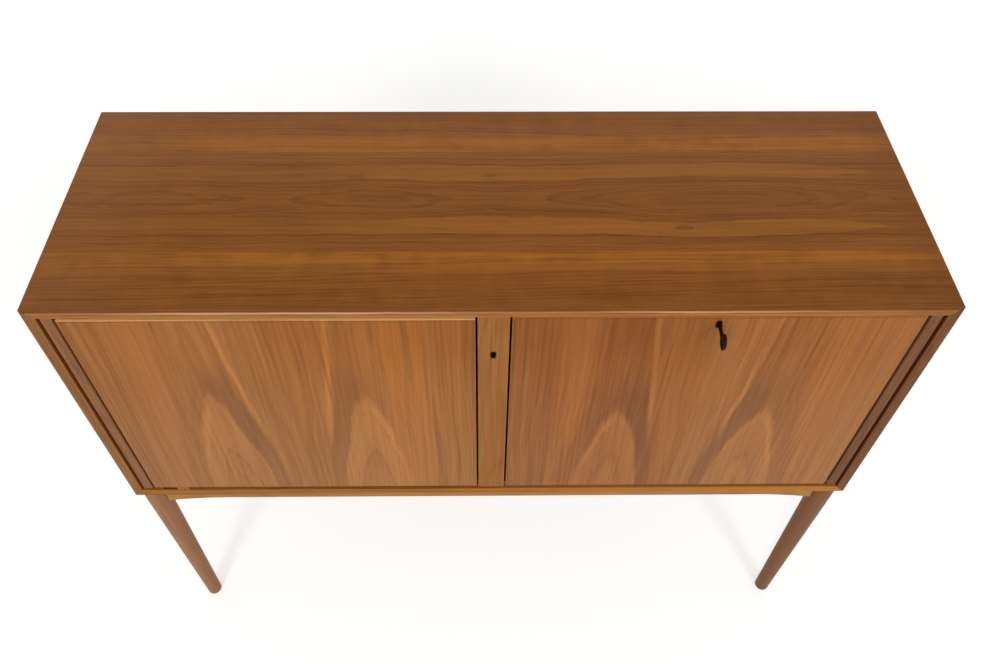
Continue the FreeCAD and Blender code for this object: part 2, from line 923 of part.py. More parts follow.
def build_stays(parts):
    studs = []
    for name, end in (("left", -1), ("right", 1)):
        parts[name + "_stay_arm"] = stay_arm(end)
        stud = carcass_stud(end)
        studs.append(stud)
        parts[name + "_stay_block"] = stay_block(end).cut(stud)
    parts["stay_studs"] = studs


def build():
    parts = {}
    build_underframe(parts)
    build_carcass(parts)
    build_shelves(parts)
    build_uprights(parts)
    build_left_door(parts)
    build_flap(parts)
    build_stays(parts)
    parts["door_stops"] = door_stops()
    parts["door_rest"] = door_rest()
    return parts


os.makedirs("parts", exist_ok=True)
for name, shape in build().items():
    if isinstance(shape, list):
        shape = Part.makeCompound(shape)
    shape.exportStep(f"parts/{name}.step")
    print(name, len(shape.Solids), round(shape.Volume), shape.isValid())
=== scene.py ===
from functools import partialmethod
import math

import bpy
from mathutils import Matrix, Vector


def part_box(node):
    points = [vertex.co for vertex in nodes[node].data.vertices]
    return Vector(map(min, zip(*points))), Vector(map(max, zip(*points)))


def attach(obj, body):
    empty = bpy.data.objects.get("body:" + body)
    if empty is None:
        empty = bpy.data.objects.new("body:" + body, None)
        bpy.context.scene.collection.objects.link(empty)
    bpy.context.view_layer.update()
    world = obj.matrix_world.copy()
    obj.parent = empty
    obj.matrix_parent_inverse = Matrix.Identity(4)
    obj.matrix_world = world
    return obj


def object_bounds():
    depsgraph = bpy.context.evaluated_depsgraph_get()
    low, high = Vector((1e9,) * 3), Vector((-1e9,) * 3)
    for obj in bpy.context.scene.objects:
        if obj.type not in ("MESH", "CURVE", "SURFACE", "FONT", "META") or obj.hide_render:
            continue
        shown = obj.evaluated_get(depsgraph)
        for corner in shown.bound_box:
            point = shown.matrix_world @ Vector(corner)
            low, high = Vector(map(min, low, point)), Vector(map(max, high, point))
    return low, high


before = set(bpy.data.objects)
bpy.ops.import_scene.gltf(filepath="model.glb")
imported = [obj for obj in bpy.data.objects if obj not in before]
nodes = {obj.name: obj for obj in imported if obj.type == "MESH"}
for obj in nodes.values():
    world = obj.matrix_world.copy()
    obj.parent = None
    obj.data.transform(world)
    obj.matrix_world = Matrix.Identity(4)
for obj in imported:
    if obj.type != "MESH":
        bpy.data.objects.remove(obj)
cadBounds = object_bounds()
print("frame loaded,", len(nodes), "nodes")


# Node trees: numbers or sockets go in, the new node's socket comes out.

class Tree:
    def __init__(self, tree):
        self.tree = tree

    def put(self, socket, value):
        if isinstance(value, bpy.types.NodeSocket):
            self.tree.links.new(value, socket)
        else:
            socket.default_value = value

    def node(self, kind, inputs=None, **settings):
        made = self.tree.nodes.new(kind)
        for name, value in settings.items():
            setattr(made, name, value)
        for name, value in (inputs or {}).items():
            self.put(made.inputs[name], value)
        return made

    def out(self, output, kind, inputs=None, **settings):
        return self.node(kind, inputs, **settings).outputs[output]

    def math(self, operation, first, second=None, clamp=False):
        made = self.node("ShaderNodeMath", operation=operation, use_clamp=clamp)
        self.put(made.inputs[0], first)
        if second is not None:
            self.put(made.inputs[1], second)
        return made.outputs[0]

    def chain(self, operation, *values):
        # One operation over several values, from left to right.
        made = values[0]
        for value in values[1:]:
            made = self.math(operation, made, value)
        return made

    add = partialmethod(chain, "ADD")
    take = partialmethod(chain, "SUBTRACT")
    times = partialmethod(chain, "MULTIPLY")
    over = partialmethod(chain, "DIVIDE")
    least = partialmethod(chain, "MINIMUM")
    most = partialmethod(chain, "MAXIMUM")
    size = partialmethod(math, "ABSOLUTE")

    def centred(self, value, strength):
        # A 0 to 1 value as a swing about zero.
        return self.times(self.take(value, 0.5), strength)

    def between(self, first, second, share):
        made = self.node("ShaderNodeMix")
        self.put(made.inputs[0], share)
        self.put(made.inputs[2], first)
        self.put(made.inputs[3], second)
        return made.outputs[0]

    def vector(self, operation, first, second):
        made = self.node("ShaderNodeVectorMath", operation=operation)
        self.put(made.inputs[0], first)
        self.put(made.inputs[1], second)
        return made.outputs["Vector"]

    def split(self, vector):
        return self.node("ShaderNodeSeparateXYZ", {"Vector": vector}).outputs

    def join(self, x, y, z):
        return self.out("Vector", "ShaderNodeCombineXYZ", {"X": x, "Y": y, "Z": z})

    def scaled(self, vector, factor):
        return self.vector("MULTIPLY", vector, self.join(factor, factor, factor))

    def noise(self, place, detail=2.0, roughness=0.5, output="Fac"):
        inputs = {"Vector": place, "Scale": 1.0, "Detail": detail, "Roughness": roughness}
        return self.out(output, "ShaderNodeTexNoise", inputs)

    def ramp(self, value, low, high, start=0.0, end=1.0):
        # A smooth step from start to end as the value goes from low to high.
        inputs = {"Value": value, "From Min": low, "From Max": high, "To Min": start, "To Max": end}
        return self.out("Result", "ShaderNodeMapRange", inputs, interpolation_type="SMOOTHSTEP")

    def band(self, value, low, high, soft):
        # 1 between two numbers, fading to 0 over the soft width on either side.
        rise = self.ramp(value, low - soft, low)
        fall = self.ramp(value, high, high + soft, 1.0, 0.0)
        return self.times(rise, fall)

    def mix(self, first, second, factor, mode="MIX"):
        made = self.node("ShaderNodeMix", data_type="RGBA", blend_type=mode)
        self.put(made.inputs[0], factor)
        self.put(made.inputs[6], first)
        self.put(made.inputs[7], second)
        return made.outputs[2]

    def curve(self, value, points, shape="LINEAR"):
        # A value read from (place, level) points between the first place and the last.
        first = points[0][0]
        span = points[-1][0] - first
        share = self.over(self.take(value, first), span)
        made = self.node("ShaderNodeValToRGB", {"Fac": share})
        made.color_ramp.interpolation = shape
        stops = made.color_ramp.elements
        stops.remove(stops[1])
        for index, (place, level) in enumerate(points):
            stop = stops[0] if index == 0 else stops.new((place - first) / span)
            stop.position = (place - first) / span
            stop.color = (level, level, level, 1.0)
        return made.outputs["Color"]

    def use(self, groupName, **inputs):
        made = self.node("ShaderNodeGroup", node_tree=bpy.data.node_groups[groupName])
        for name, value in inputs.items():
            self.put(made.inputs[name], value)
        return made.outputs


def newGroup(name, inputs, outputs):
    # A shader group; an input without a number is a vector.
    group = bpy.data.node_groups.new(name, "ShaderNodeTree")
    for socketName, value in inputs.items():
        kind = "NodeSocketVector" if value is None else "NodeSocketFloat"
        socket = group.interface.new_socket(name=socketName, in_out="INPUT", socket_type=kind)
        if value is not None:
            socket.default_value = value
    for socketName in outputs:
        group.interface.new_socket(name=socketName, in_out="OUTPUT", socket_type="NodeSocketFloat")
    given = group.nodes.new("NodeGroupInput").outputs
    result = group.nodes.new("NodeGroupOutput").inputs
    return Tree(group), given, result


def colour(red, green, blue):
    # A colour picked on a screen, 0 to 255, as the shader wants it.
    def linear(level):
        share = level / 255
        return share / 12.92 if share <= 0.04045 else ((share + 0.055) / 1.055) ** 2.4
    return (linear(red), linear(green), linear(blue), 1.0)


# Shared effects. A pace is in noise cells for each metre, or for each ring; two paces are
# across the grain and along it. A seedStep is how far one seed lies from the next in the
# noise. Two or four numbers for a smooth step are from where to where, and its two ends.

ringValues = {
    "seedStep": 3.7, "widePace": 16.0, "closePace": 150.0, "flameSlope": 0.04,
    "unevenPace": 0.23, "unevenRings": 2.5, "shadePace": 0.31,
    "lateWood": (0.35, 0.9), "ringEnd": (0.93, 1.0, 1.0, 0.0), "faintestLine": 0.15,
}


def makeGrowthRings():
    # Growth rings where a board's face cuts them. The place is across the grain from the
    # pith, along it, and into the board. The dip draws the rings in, as round a knot;
    # point 1 gives a flame straight sides, 0 a round head.
    inputs = {
        "place": None, "pithDepth": 0.06, "taper": 0.1, "dip": 0.0, "ringWidth": 0.004,
        "wander": 0.006, "wanderLength": 0.25, "ripple": 0.001, "rippleLength": 0.06,
        "point": 0.0, "seed": 0.0,
    }
    values = ringValues
    tree, given, result = newGroup("growthRings", inputs, ["distance", "line", "shade"])
    across, along, into = tree.split(given["place"])
    shift = tree.times(given["seed"], values["seedStep"])
    wide = tree.join(
        tree.add(tree.times(across, values["widePace"]), shift),
        tree.add(tree.over(along, given["wanderLength"]), shift),
        tree.times(into, values["widePace"]),
    )
    slow = tree.noise(wide, 1.5, 0.5, "Color")
    slowX, slowY, slowZ = tree.split(slow)
    moved = tree.times(given["wander"], 2.0)
    sideways = tree.add(across, tree.centred(slowX, moved))
    depth = tree.add(given["pithDepth"], tree.times(given["taper"], along), into, tree.centred(slowY, moved))
    rounded = tree.times(sideways, sideways)
    pointed = tree.times(tree.size(sideways), values["flameSlope"])
    square = tree.add(tree.between(rounded, pointed, given["point"]), tree.times(depth, depth))
    close = tree.join(
        tree.times(across, values["closePace"]),
        tree.add(tree.over(along, given["rippleLength"]), shift),
        tree.times(into, values["closePace"]),
    )
    fine = tree.centred(tree.noise(close, 3.0, 0.6), tree.times(given["ripple"], 2.0))
    distance = tree.add(tree.take(tree.math("SQRT", square), given["dip"]), fine)
    turns = tree.over(distance, given["ringWidth"])
    uneven = tree.noise(tree.join(tree.times(turns, values["unevenPace"]), shift, 0.0), 1.0)
    turns = tree.add(turns, tree.times(uneven, values["unevenRings"]))
    ring = tree.math("FLOOR", turns)
    share = tree.math("FRACT", turns)
    number = {"W": tree.add(ring, shift)}
    strength = tree.out("Value", "ShaderNodeTexWhiteNoise", number, noise_dimensions="1D")
    late = tree.times(tree.ramp(share, *values["lateWood"]), tree.ramp(share, *values["ringEnd"]))
    shade = tree.noise(tree.join(tree.times(turns, values["shadePace"]), 0.0, shift), 2.0, 0.6)
    tree.put(result["distance"], distance)
    tree.put(result["line"], tree.times(late, tree.between(values["faintestLine"], 1.0, strength)))
    tree.put(result["shade"], shade)


fibreValues = {
    "seedStep": 5.3, "wobblePaces": (9.0, 5.0), "wobble": 0.012, "depthShare": 0.2,
    "fibrePaces": (1900.0, 26.0), "porePaces": (2600.0, 130.0), "poreLevels": (0.6, 0.72),
}


def makeFibres():
    # Streaks and fibres that run along the grain, and the open pores of walnut.
    inputs = {"place": None, "streakWidth": 0.004, "streakLength": 0.25, "seed": 0.0}
    values = fibreValues
    tree, given, result = newGroup("fibres", inputs, ["streak", "fibre", "pore"])
    across, along, into = tree.split(given["place"])
    shift = tree.times(given["seed"], values["seedStep"])
    sidePace, lengthPace = values["wobblePaces"]
    wobble = tree.noise(tree.join(tree.times(across, sidePace), tree.times(along, lengthPace), shift), 1.0)
    straight = tree.add(across, tree.times(wobble, values["wobble"]))
    depth = tree.times(into, values["depthShare"])
    wide = tree.join(
        tree.over(straight, given["streakWidth"]),
        tree.over(along, given["streakLength"]),
        tree.add(tree.over(depth, given["streakWidth"]), shift),
    )
    tree.put(result["streak"], tree.noise(wide, 3.0, 0.55))

    def grained(sidePace, lengthPace):
        # The place with one pace along the grain and another across it.
        inward = tree.add(tree.times(depth, sidePace), shift)
        return tree.join(tree.times(straight, sidePace), tree.times(along, lengthPace), inward)

    tree.put(result["fibre"], tree.noise(grained(*values["fibrePaces"]), 2.0, 0.6))
    pores = tree.noise(grained(*values["porePaces"]), 1.0)
    tree.put(result["pore"], tree.ramp(pores, *values["poreLevels"]))


handlingValues = {
    "seedStep": 2.9, "spotPace": 190.0, "spotLevels": (0.68, 0.78), "patchPace": 14.0,
    "patchLevels": (0.5, 0.65),
}


def makeHandling():
    # Years of dusting and use: faint cloudy patches and small scuffs.
    inputs = {"place": None, "cloudSize": 0.12, "seed": 0.0}
    values = handlingValues
    tree, given, result = newGroup("handling", inputs, ["cloud", "scuff"])
    shift = tree.times(given["seed"], values["seedStep"])
    moved = tree.vector("ADD", given["place"], tree.join(shift, shift, shift))
    clouds = tree.scaled(moved, tree.over(1.0, given["cloudSize"]))
    tree.put(result["cloud"], tree.noise(clouds, 3.0, 0.55))
    spots = tree.noise(tree.scaled(moved, values["spotPace"]), 2.0)
    patch = tree.noise(tree.scaled(moved, values["patchPace"]), 1.0)
    scuffs = tree.times(tree.ramp(spots, *values["spotLevels"]), tree.ramp(patch, *values["patchLevels"]))
    tree.put(result["scuff"], scuffs)


arrisValues = {"seedStep": 1.7, "patchPace": 45.0, "patchLevels": (0.35, 0.65, 0.35, 1.0)}


def makeArris():
    # Wear along the edges of a box: a place is near an edge when it is near two faces.
    inputs = {"place": None, "low": None, "high": None, "width": 0.0015, "seed": 0.0}
    values = arrisValues
    tree, given, result = newGroup("arris", inputs, ["worn"])
    above = tree.split(tree.vector("SUBTRACT", given["place"], given["low"]))
    below = tree.split(tree.vector("SUBTRACT", given["high"], given["place"]))
    x, y, z = (tree.least(above[axis], below[axis]) for axis in range(3))
    second = tree.most(tree.least(x, y), tree.least(tree.most(x, y), z))
    near = tree.ramp(second, 0.0, given["width"], 1.0, 0.0)
    shift = tree.times(given["seed"], values["seedStep"])
    spots = tree.scaled(given["place"], values["patchPace"])
    patch = tree.noise(tree.vector("ADD", spots, tree.join(shift, shift, shift)), 2.0)
    tree.put(result["worn"], tree.times(near, tree.ramp(patch, *values["patchLevels"])))


def makeIsland():
    # A small closed eye in the figure: how far it draws the rings in.
    inputs = {"place": None, "across": 0.0, "along": 0.0, "breadth": 0.01, "length": 0.08, "depth": 0.01}
    tree, given, result = newGroup("island", inputs, ["dip"])
    across, along, into = tree.split(given["place"])
    sideways = tree.over(tree.take(across, given["across"]), given["breadth"])
    lengthways = tree.over(tree.take(along, given["along"]), given["length"])
    square = tree.add(tree.times(sideways, sideways), tree.times(lengthways, lengthways))
    bell = tree.math("POWER", math.e, tree.times(square, -1.0))
    tree.put(result["dip"], tree.times(bell, given["depth"]))


makeGrowthRings()
makeFibres()
makeHandling()
makeArris()
makeIsland()
print("shared effects made")


# Walnut.

def newMaterial(name):
    material = bpy.data.materials.new(name)
    material.use_nodes = True
    tree = Tree(material.node_tree)
    shader = material.node_tree.nodes["Principled BSDF"]
    place = tree.out("Object", "ShaderNodeTexCoord")
    return material, tree, shader, place


def grainPlace(tree, place, axes, origin):
    # Across the grain, along it and into the board, from the named axes, from an origin.
    moved = tree.split(tree.vector("SUBTRACT", place, origin))
    across, along, into = (moved[axis] for axis in axes)
    return across, along, into


# How far a finish runs from its tone, in shares of red, green and blue, and what else a
# finish says unless a look changes it.
toneShares = {
    "dark": (0.62, 0.52, 0.45),
    "light": (1.38, 1.48, 1.55),
    "poreColour": (0.36, 0.28, 0.24),
    "wornColour": (1.5, 1.75, 2.1),
}
plainFinish = {
    "shade": 0.5, "streaks": 0.55, "ringShade": 0.3, "ringLines": 0.22, "clouds": 0.15,
    "fibres": 0.22, "pores": 0.35, "worn": 0.45, "gloss": 0.08, "roughness": 0.42,
    "wearRoughness": 0.12, "fibreHeight": 0.4, "relief": 0.0001, "reliefStrength": 0.35,
}


def lookOf(tone, **changes):
    # A finish about one tone.
    tone = colour(*tone)
    made = dict(plainFinish)
    for part, shares in toneShares.items():
        made[part] = (*(level * share for level, share in zip(tone, shares)), 1.0)
    made.update(changes)
    return made


def oil(tree, shader, wood, fibres, handling, look):
    # The wood's colour under the satin oil finish that every walnut surface shares.
    tree.put(shader.inputs["Base Color"], wood)
    shader.inputs["Specular IOR Level"].default_value = look["gloss"]
    rough = tree.times(tree.add(handling["cloud"], handling["scuff"]), look["wearRoughness"])
    tree.put(shader.inputs["Roughness"], tree.add(look["roughness"], rough))
    height = tree.take(tree.times(fibres["fibre"], look["fibreHeight"]), fibres["pore"])
    relief(tree, shader, height, look["reliefStrength"], look["relief"])


def wooden(name, makeWood, *given):
    # A material from one of the functions below whose names end in Wood.
    material, tree, shader, place = newMaterial(name)
    oil(tree, shader, *makeWood(tree, place, *given))
    return material


def relief(tree, shader, height, strength, distance):
    inputs = {"Height": height, "Strength": strength, "Distance": distance}
    tree.put(shader.inputs["Normal"], tree.out("Normal", "ShaderNodeBump", inputs))


def woodColour(tree, shade, rings, fibres, handling, look):
    # From dark to light by the shade, then streaks, ring lines, fibres and pores.
    level = tree.add(
        shade, tree.centred(fibres["streak"], look["streaks"]),
        tree.centred(rings["shade"], look["ringShade"]), tree.centred(handling["cloud"], look["clouds"]),
        tree.centred(fibres["fibre"], look["fibres"]),
    )
    level = tree.math("SUBTRACT", level, tree.times(rings["line"], look["ringLines"]), clamp=True)
    wood = tree.mix(look["dark"], look["light"], level)
    return tree.mix(wood, look["poreColour"], tree.times(fibres["pore"], look["pores"]))


def wornEdges(tree, place, wood, name, look, seed, width=0.0015):
    # Paler wood where hands and cloths have rubbed a piece's edges.
    low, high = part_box(name)
    worn = tree.use("arris", place=place, low=low, high=high, width=width, seed=seed)["worn"]
    return tree.mix(wood, look["wornColour"], tree.times(worn, look["worn"]))


# The door and the flap: two leaves of veneer each, book-matched at a joint in the middle,
# with a flame in each leaf. Distances across are from the joint, heights from a flame's tip.
doorLook = lookOf(
    (162, 106, 56),
    streaks=0.92, ringShade=0.66, ringLines=0.13, clouds=0.2, fibres=0.19, pores=0.2, worn=0.9,
    cloudSize=0.1, grain=dict(streakWidth=0.0045, streakLength=0.3), leafStep=0.04,
    rings=dict(
        pithDepth=0.064, taper=0.1, ringWidth=0.0042, wander=0.0055, wanderLength=0.13,
        rippleLength=0.022, point=0.5,
    ),
    # straighter grain above the flames, and away from them
    straighten=(0.25, 0.015), ripple=(0.02, 0.075, 0.0024, 0.0008),
    # level from dark to light, by the distance from the pith
    figure=[
        (0.030, 0.62), (0.0480, 0.58), (0.0495, 0.40), (0.051, 0.60), (0.060, 0.64),
        (0.0640, 0.66), (0.0655, 0.38), (0.068, 0.45), (0.090, 0.48), (0.110, 0.50), (0.160, 0.50),
    ],
    outerFrom=(0.206, 0.212),
    # the dark border round a flame
    grey=colour(112, 70, 42), darkShare=0.45, darkBand=(0.0662, 0.077, 0.003),
    darkAside=(-0.012, 0.01, 1.0, 0.35), darkAbove=(0.015, 0.11, 1.0, 0.12),
    darkBelow=(-0.22, -0.08, 0.5, 1.0),
    # sapwood: a flame's outline, and a streak that rises beside the joint
    sap=colour(196, 130, 72), outlineShare=0.42, outline=(0.0610, 0.0628, 0.0012),
    outlineAside=(0.0, 0.012), outlineHeights=(-0.14, -0.03, 0.04),
    streakEdge=(0.0010, 0.0062, 1.0, 0.0), streakSlope=0.105, streakBend=0.08,
    streakWaves=14.0, streakWander=0.009, streakFoot=(-0.16, 0.0, 0.0, 0.62),
    streakBreaks=(0.3, 0.55, 0.55, 1.0),
    # the golden field at the outer side of a leaf
    gold=colour(181, 112, 51), goldField=(0.148, 0.206, 0.003),
    goldBreaks=(0.38, 0.62, 0.2, 1.0), goldBelow=(-0.2, 0.1, 0.45, 1.0),
    # by the height over the floor: a painted sheen of the floor, paler below, and painted shade under the
    # top, warmer and darker above
    paleLift=(0.011, 0.018, 0.019, 0.0), paleHeights=(0.5, 0.9, 1.0, 0.0),
    upperTint=(0.90, 0.84, 0.74, 1.0), upperHeights=(0.75, 0.9),
)
leftDoorFigure = {
    "joint": -0.2945, "tipHeights": (0.734, 0.736), "halfSpan": 0.113, "streakFrom": 0.059,
    "goldShares": (0.3, 0.75), "outerShades": (0.0, -0.05), "seed": 1.0,
    "tints": ((1.0, 0.97, 0.92, 1.0), (1.04, 1.0, 0.87, 1.0)), "upperShares": (0.0, 1.0),
    "edgeTone": colour(240, 190, 120),
}
flapFigure = {
    "joint": 0.295, "tipHeights": (0.708, 0.714), "halfSpan": 0.1085, "streakFrom": 0.062,
    "goldShares": (0.35, 0.4), "outerShades": (-0.12, 0.02), "seed": 2.0,
    "tints": ((0.94, 0.84, 0.74, 1.0), (1.02, 0.98, 0.93, 1.0)), "upperShares": (1.0, 0.6),
    "edgeTone": colour(150, 98, 52),
}


def doorWood(tree, place, figure):
    look = doorLook
    joint = (figure["joint"], 0.0, 0.0)
    across, height, into = grainPlace(tree, place, "XZY", joint)
    isRight = tree.math("GREATER_THAN", across, 0.0)
    along = tree.take(height, tree.between(*figure["tipHeights"], isRight))
    fromJoint = tree.size(across)
    fromPith = tree.take(fromJoint, figure["halfSpan"])
    slope, start = look["straighten"]
    bent = tree.least(along, tree.add(tree.times(along, slope), start))
    rings = tree.use(
        "growthRings", place=tree.join(fromPith, bent, 0.0),
        ripple=tree.ramp(tree.size(fromPith), *look["ripple"]),
        seed=tree.add(figure["seed"], tree.times(isRight, look["leafStep"])), **look["rings"],
    )
    sided = tree.join(across, along, isRight)
    fibres = tree.use("fibres", place=sided, seed=figure["seed"], **look["grain"])
    handling = tree.use("handling", place=place, cloudSize=look["cloudSize"], seed=figure["seed"])
    shade = tree.curve(rings["distance"], look["figure"])
    beyond = tree.ramp(fromJoint, *look["outerFrom"])
    shade = tree.add(shade, tree.times(beyond, tree.between(*figure["outerShades"], isRight)))
    wood = woodColour(tree, shade, rings, fibres, handling, look)

    dark = tree.times(
        look["darkShare"], tree.band(rings["distance"], *look["darkBand"]),
        tree.ramp(fromPith, *look["darkAside"]), tree.ramp(along, *look["darkAbove"]),
        tree.ramp(along, *look["darkBelow"]),
    )
    wood = tree.mix(wood, look["grey"], dark)

    field = tree.times(
        tree.band(fromJoint, *look["goldField"]), tree.between(*figure["goldShares"], isRight),
        tree.ramp(fibres["streak"], *look["goldBreaks"]), tree.ramp(along, *look["goldBelow"]),
    )
    wood = tree.mix(wood, look["gold"], field)

    outline = tree.times(
        look["outlineShare"], tree.band(rings["distance"], *look["outline"]),
        tree.ramp(fromPith, *look["outlineAside"]), tree.band(along, *look["outlineHeights"]),
    )
    wavy = tree.noise(tree.join(tree.times(height, look["streakWaves"]), isRight, figure["seed"]))
    risen = tree.times(along, tree.take(look["streakSlope"], tree.times(along, look["streakBend"])))
    streakPlace = tree.add(figure["streakFrom"], risen, tree.centred(wavy, look["streakWander"]))
    off = tree.size(tree.take(fromJoint, streakPlace))
    streak = tree.times(
        tree.ramp(off, *look["streakEdge"]), tree.ramp(along, *look["streakFoot"]),
        tree.ramp(fibres["streak"], *look["streakBreaks"]),
    )
    wood = tree.mix(wood, look["sap"], tree.most(outline, streak))

    # painted light: a painted sheen of the floor low down, painted shade under the top higher up
    wood = tree.mix(wood, look["paleLift"], tree.ramp(height, *look["paleHeights"]), "ADD")
    wood = tree.mix(wood, tree.mix(*figure["tints"], isRight), 1.0, "MULTIPLY")
    shadedTop = tree.times(
        tree.ramp(height, *look["upperHeights"]), tree.between(*figure["upperShares"], isRight)
    )
    wood = tree.mix(wood, look["upperTint"], shadedTop, "MULTIPLY")
    return wood, fibres, handling, look


lippingValues = {
    "shade": 0.3, "soft": 0.0002, "wear": 0.0012, "upperFace": (-0.0007, -0.0002),
    "grain": dict(streakWidth=0.003, streakLength=0.2, seed=3.0), "streakLevels": (0.2, 0.5),
}


def lippingWood(tree, place, name, panel, figure):
    # Thin solid strips in the veneer's colours; the edge that looks up is painted paler, as painted light.
    values = lippingValues
    wood, fibres, handling, look = doorWood(tree, place, figure)
    low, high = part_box(panel)
    x, y, z = tree.split(place)
    strip = tree.most(
        tree.ramp(z, high.z, high.z + values["soft"]),
        tree.ramp(z, low.z - values["soft"], low.z, 1.0, 0.0),
    )
    wood = tree.mix(wood, look["dark"], tree.times(strip, values["shade"]))
    wood = wornEdges(tree, place, wood, name, look, figure["seed"], values["wear"])
    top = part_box(name)[1].z
    start, end = values["upperFace"]
    # painted light: the face that looks up is painted paler, in streaks of its lit tone
    litUpward = tree.ramp(z, top + start, top + end)
    grain = tree.use("fibres", place=tree.join(y, x, z), **values["grain"])
    edgeShare = tree.ramp(grain["streak"], *values["streakLevels"])
    wood = tree.mix(wood, tree.mix(look["light"], figure["edgeTone"], edgeShare), litUpward)
    return wood, fibres, handling, look


# The top: three leaves of veneer with the grain from end to end. The middle one is figured;
# the other two are straight, each with a golden edge that faces the middle one.
# Distances across are from the front edge, distances along from the middle of the length.
topLook = lookOf(
    (146, 89, 36),
    streaks=0.72, ringShade=0.46, ringLines=0.24, clouds=0.34, fibres=0.26, pores=0.32,
    cloudSize=0.07, grain=dict(streakWidth=0.0045, streakLength=0.22),
    leafFront=0.101, leafBack=0.305, pithLine=0.204,
    centreRings=dict(
        taper=0.0, ringWidth=0.0042, wander=0.0075, wanderLength=0.12, ripple=0.003,
        rippleLength=0.035, seed=2.0,
    ),
    edgeRings=dict(
        pithDepth=0.25, taper=0.02, ringWidth=0.0035, wander=0.004, wanderLength=0.4,
        ripple=0.0008, seed=5.0,
    ),
    # depth of the pith under the face, by the distance along
    pith=[
        (-0.600, 0.030), (-0.480, 0.027), (-0.330, 0.030), (-0.180, 0.026), (-0.050, 0.031),
        (0.080, 0.030), (0.250, 0.014), (0.400, 0.018), (0.520, 0.028), (0.600, 0.030),
    ],
    # level from dark to light, by the distance from the pith
    figure=[
        (0.000, 0.40), (0.012, 0.37), (0.016, 0.33), (0.018, 0.41), (0.026, 0.43), (0.0290, 0.37),
        (0.031, 0.44), (0.0345, 0.34), (0.0365, 0.41), (0.0395, 0.30), (0.0415, 0.40), (0.0455, 0.18),
        (0.0475, 0.46), (0.0525, 0.50), (0.0538, 0.32), (0.0550, 0.50), (0.060, 0.50), (0.076, 0.48),
        (0.0785, 0.26), (0.080, 0.46), (0.088, 0.42), (0.0905, 0.30), (0.092, 0.48), (0.120, 0.46),
    ],
    # small eyes: across from the pith, along, breadth, length, depth
    islands=[
        (0.053, 0.012, 0.009, 0.07, 0.0105), (0.054, -0.235, 0.008, 0.08, 0.0100),
        (-0.055, 0.035, 0.009, 0.065, 0.0105), (-0.052, -0.20, 0.008, 0.06, 0.0090),
        (-0.060, 0.262, 0.005, 0.02, 0.0160), (0.056, -0.47, 0.007, 0.06, 0.0090),
    ],
    # the pale tongues on both sides of the dark middle: distances from the pith, where they
    # start and end along the top, how pointed, how much paler
    tongue=(0.050, 0.0745, 0.002), tongueStart=(-0.30, -0.05, 0.2, 1.0),
    tongueEnd=(0.545, 0.555, 1.0, 0.0), tonguePoint=6.0, tongueShade=0.26,
    # the straight leaves: mottled, and golden beside the middle one
    plainShade=0.36, mottlePaces=(26.0, 32.0), mottle=0.35,
    gold=colour(170, 105, 36), frontGold=(0.051, 0.089), backGold=(0.329, 0.355, 1.0, 0.0),
    goldMottle=0.3, goldBreaks=(0.35, 0.62, 0.25, 0.95), goldFaded=(-0.55, -0.25, 0.6, 1.0),
    # a painted sheen, a reflection painted into the colour, towards the back and the left end, and a darker
    # right end
    haze=colour(168, 120, 92), hazeAcross=(0.1, 0.42, 0.0, 0.14),
    hazeLeft=(-0.6, -0.42, 0.1, 0.0), darkRight=(0.53, 0.6, 0.0, 0.3),
)


def topWood(tree, place):
    look = topLook
    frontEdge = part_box("top_lipping")[0].y
    across, along, into = grainPlace(tree, place, "YXZ", (0.0, frontEdge, 0.0))
    fromPith = tree.take(across, look["pithLine"])
    inMiddle = tree.times(
        tree.math("GREATER_THAN", across, look["leafFront"]),
        tree.math("LESS_THAN", across, look["leafBack"]),
    )
    onLeaf = tree.join(fromPith, along, 0.0)
    onBoard = tree.join(across, along, inMiddle)
    fibres = tree.use("fibres", place=onBoard, seed=1.0, **look["grain"])
    handling = tree.use("handling", place=place, cloudSize=look["cloudSize"], seed=1.0)
    figured = figuredLeaf(tree, onLeaf, along, fibres, handling, look)

    sidePace, lengthPace = look["mottlePaces"]
    mottle = tree.noise(tree.join(tree.times(across, sidePace), tree.times(along, lengthPace), 0.0), 1.5)
    level = tree.add(look["plainShade"], tree.centred(mottle, look["mottle"]))
    edges = tree.use("growthRings", place=onLeaf, **look["edgeRings"])
    plain = woodColour(tree, level, edges, fibres, handling, look)
    onBack = tree.math("GREATER_THAN", across, look["pithLine"])
    lively = tree.between(fibres["streak"], mottle, look["goldMottle"])
    golden = tree.times(
        tree.between(tree.ramp(across, *look["frontGold"]), tree.ramp(across, *look["backGold"]), onBack),
        tree.ramp(lively, *look["goldBreaks"]), tree.ramp(along, *look["goldFaded"]),
    )
    plain = tree.mix(plain, look["gold"], golden)

    wood = tree.mix(plain, figured, inMiddle)
    # painted sheen: a reflection painted into the top's colour, towards the back and the left end
    haze = tree.add(tree.ramp(across, *look["hazeAcross"]), tree.ramp(along, *look["hazeLeft"]))
    wood = tree.mix(wood, look["haze"], haze)
    wood = tree.mix(wood, look["dark"], tree.ramp(along, *look["darkRight"]))
    return wood, fibres, handling, look


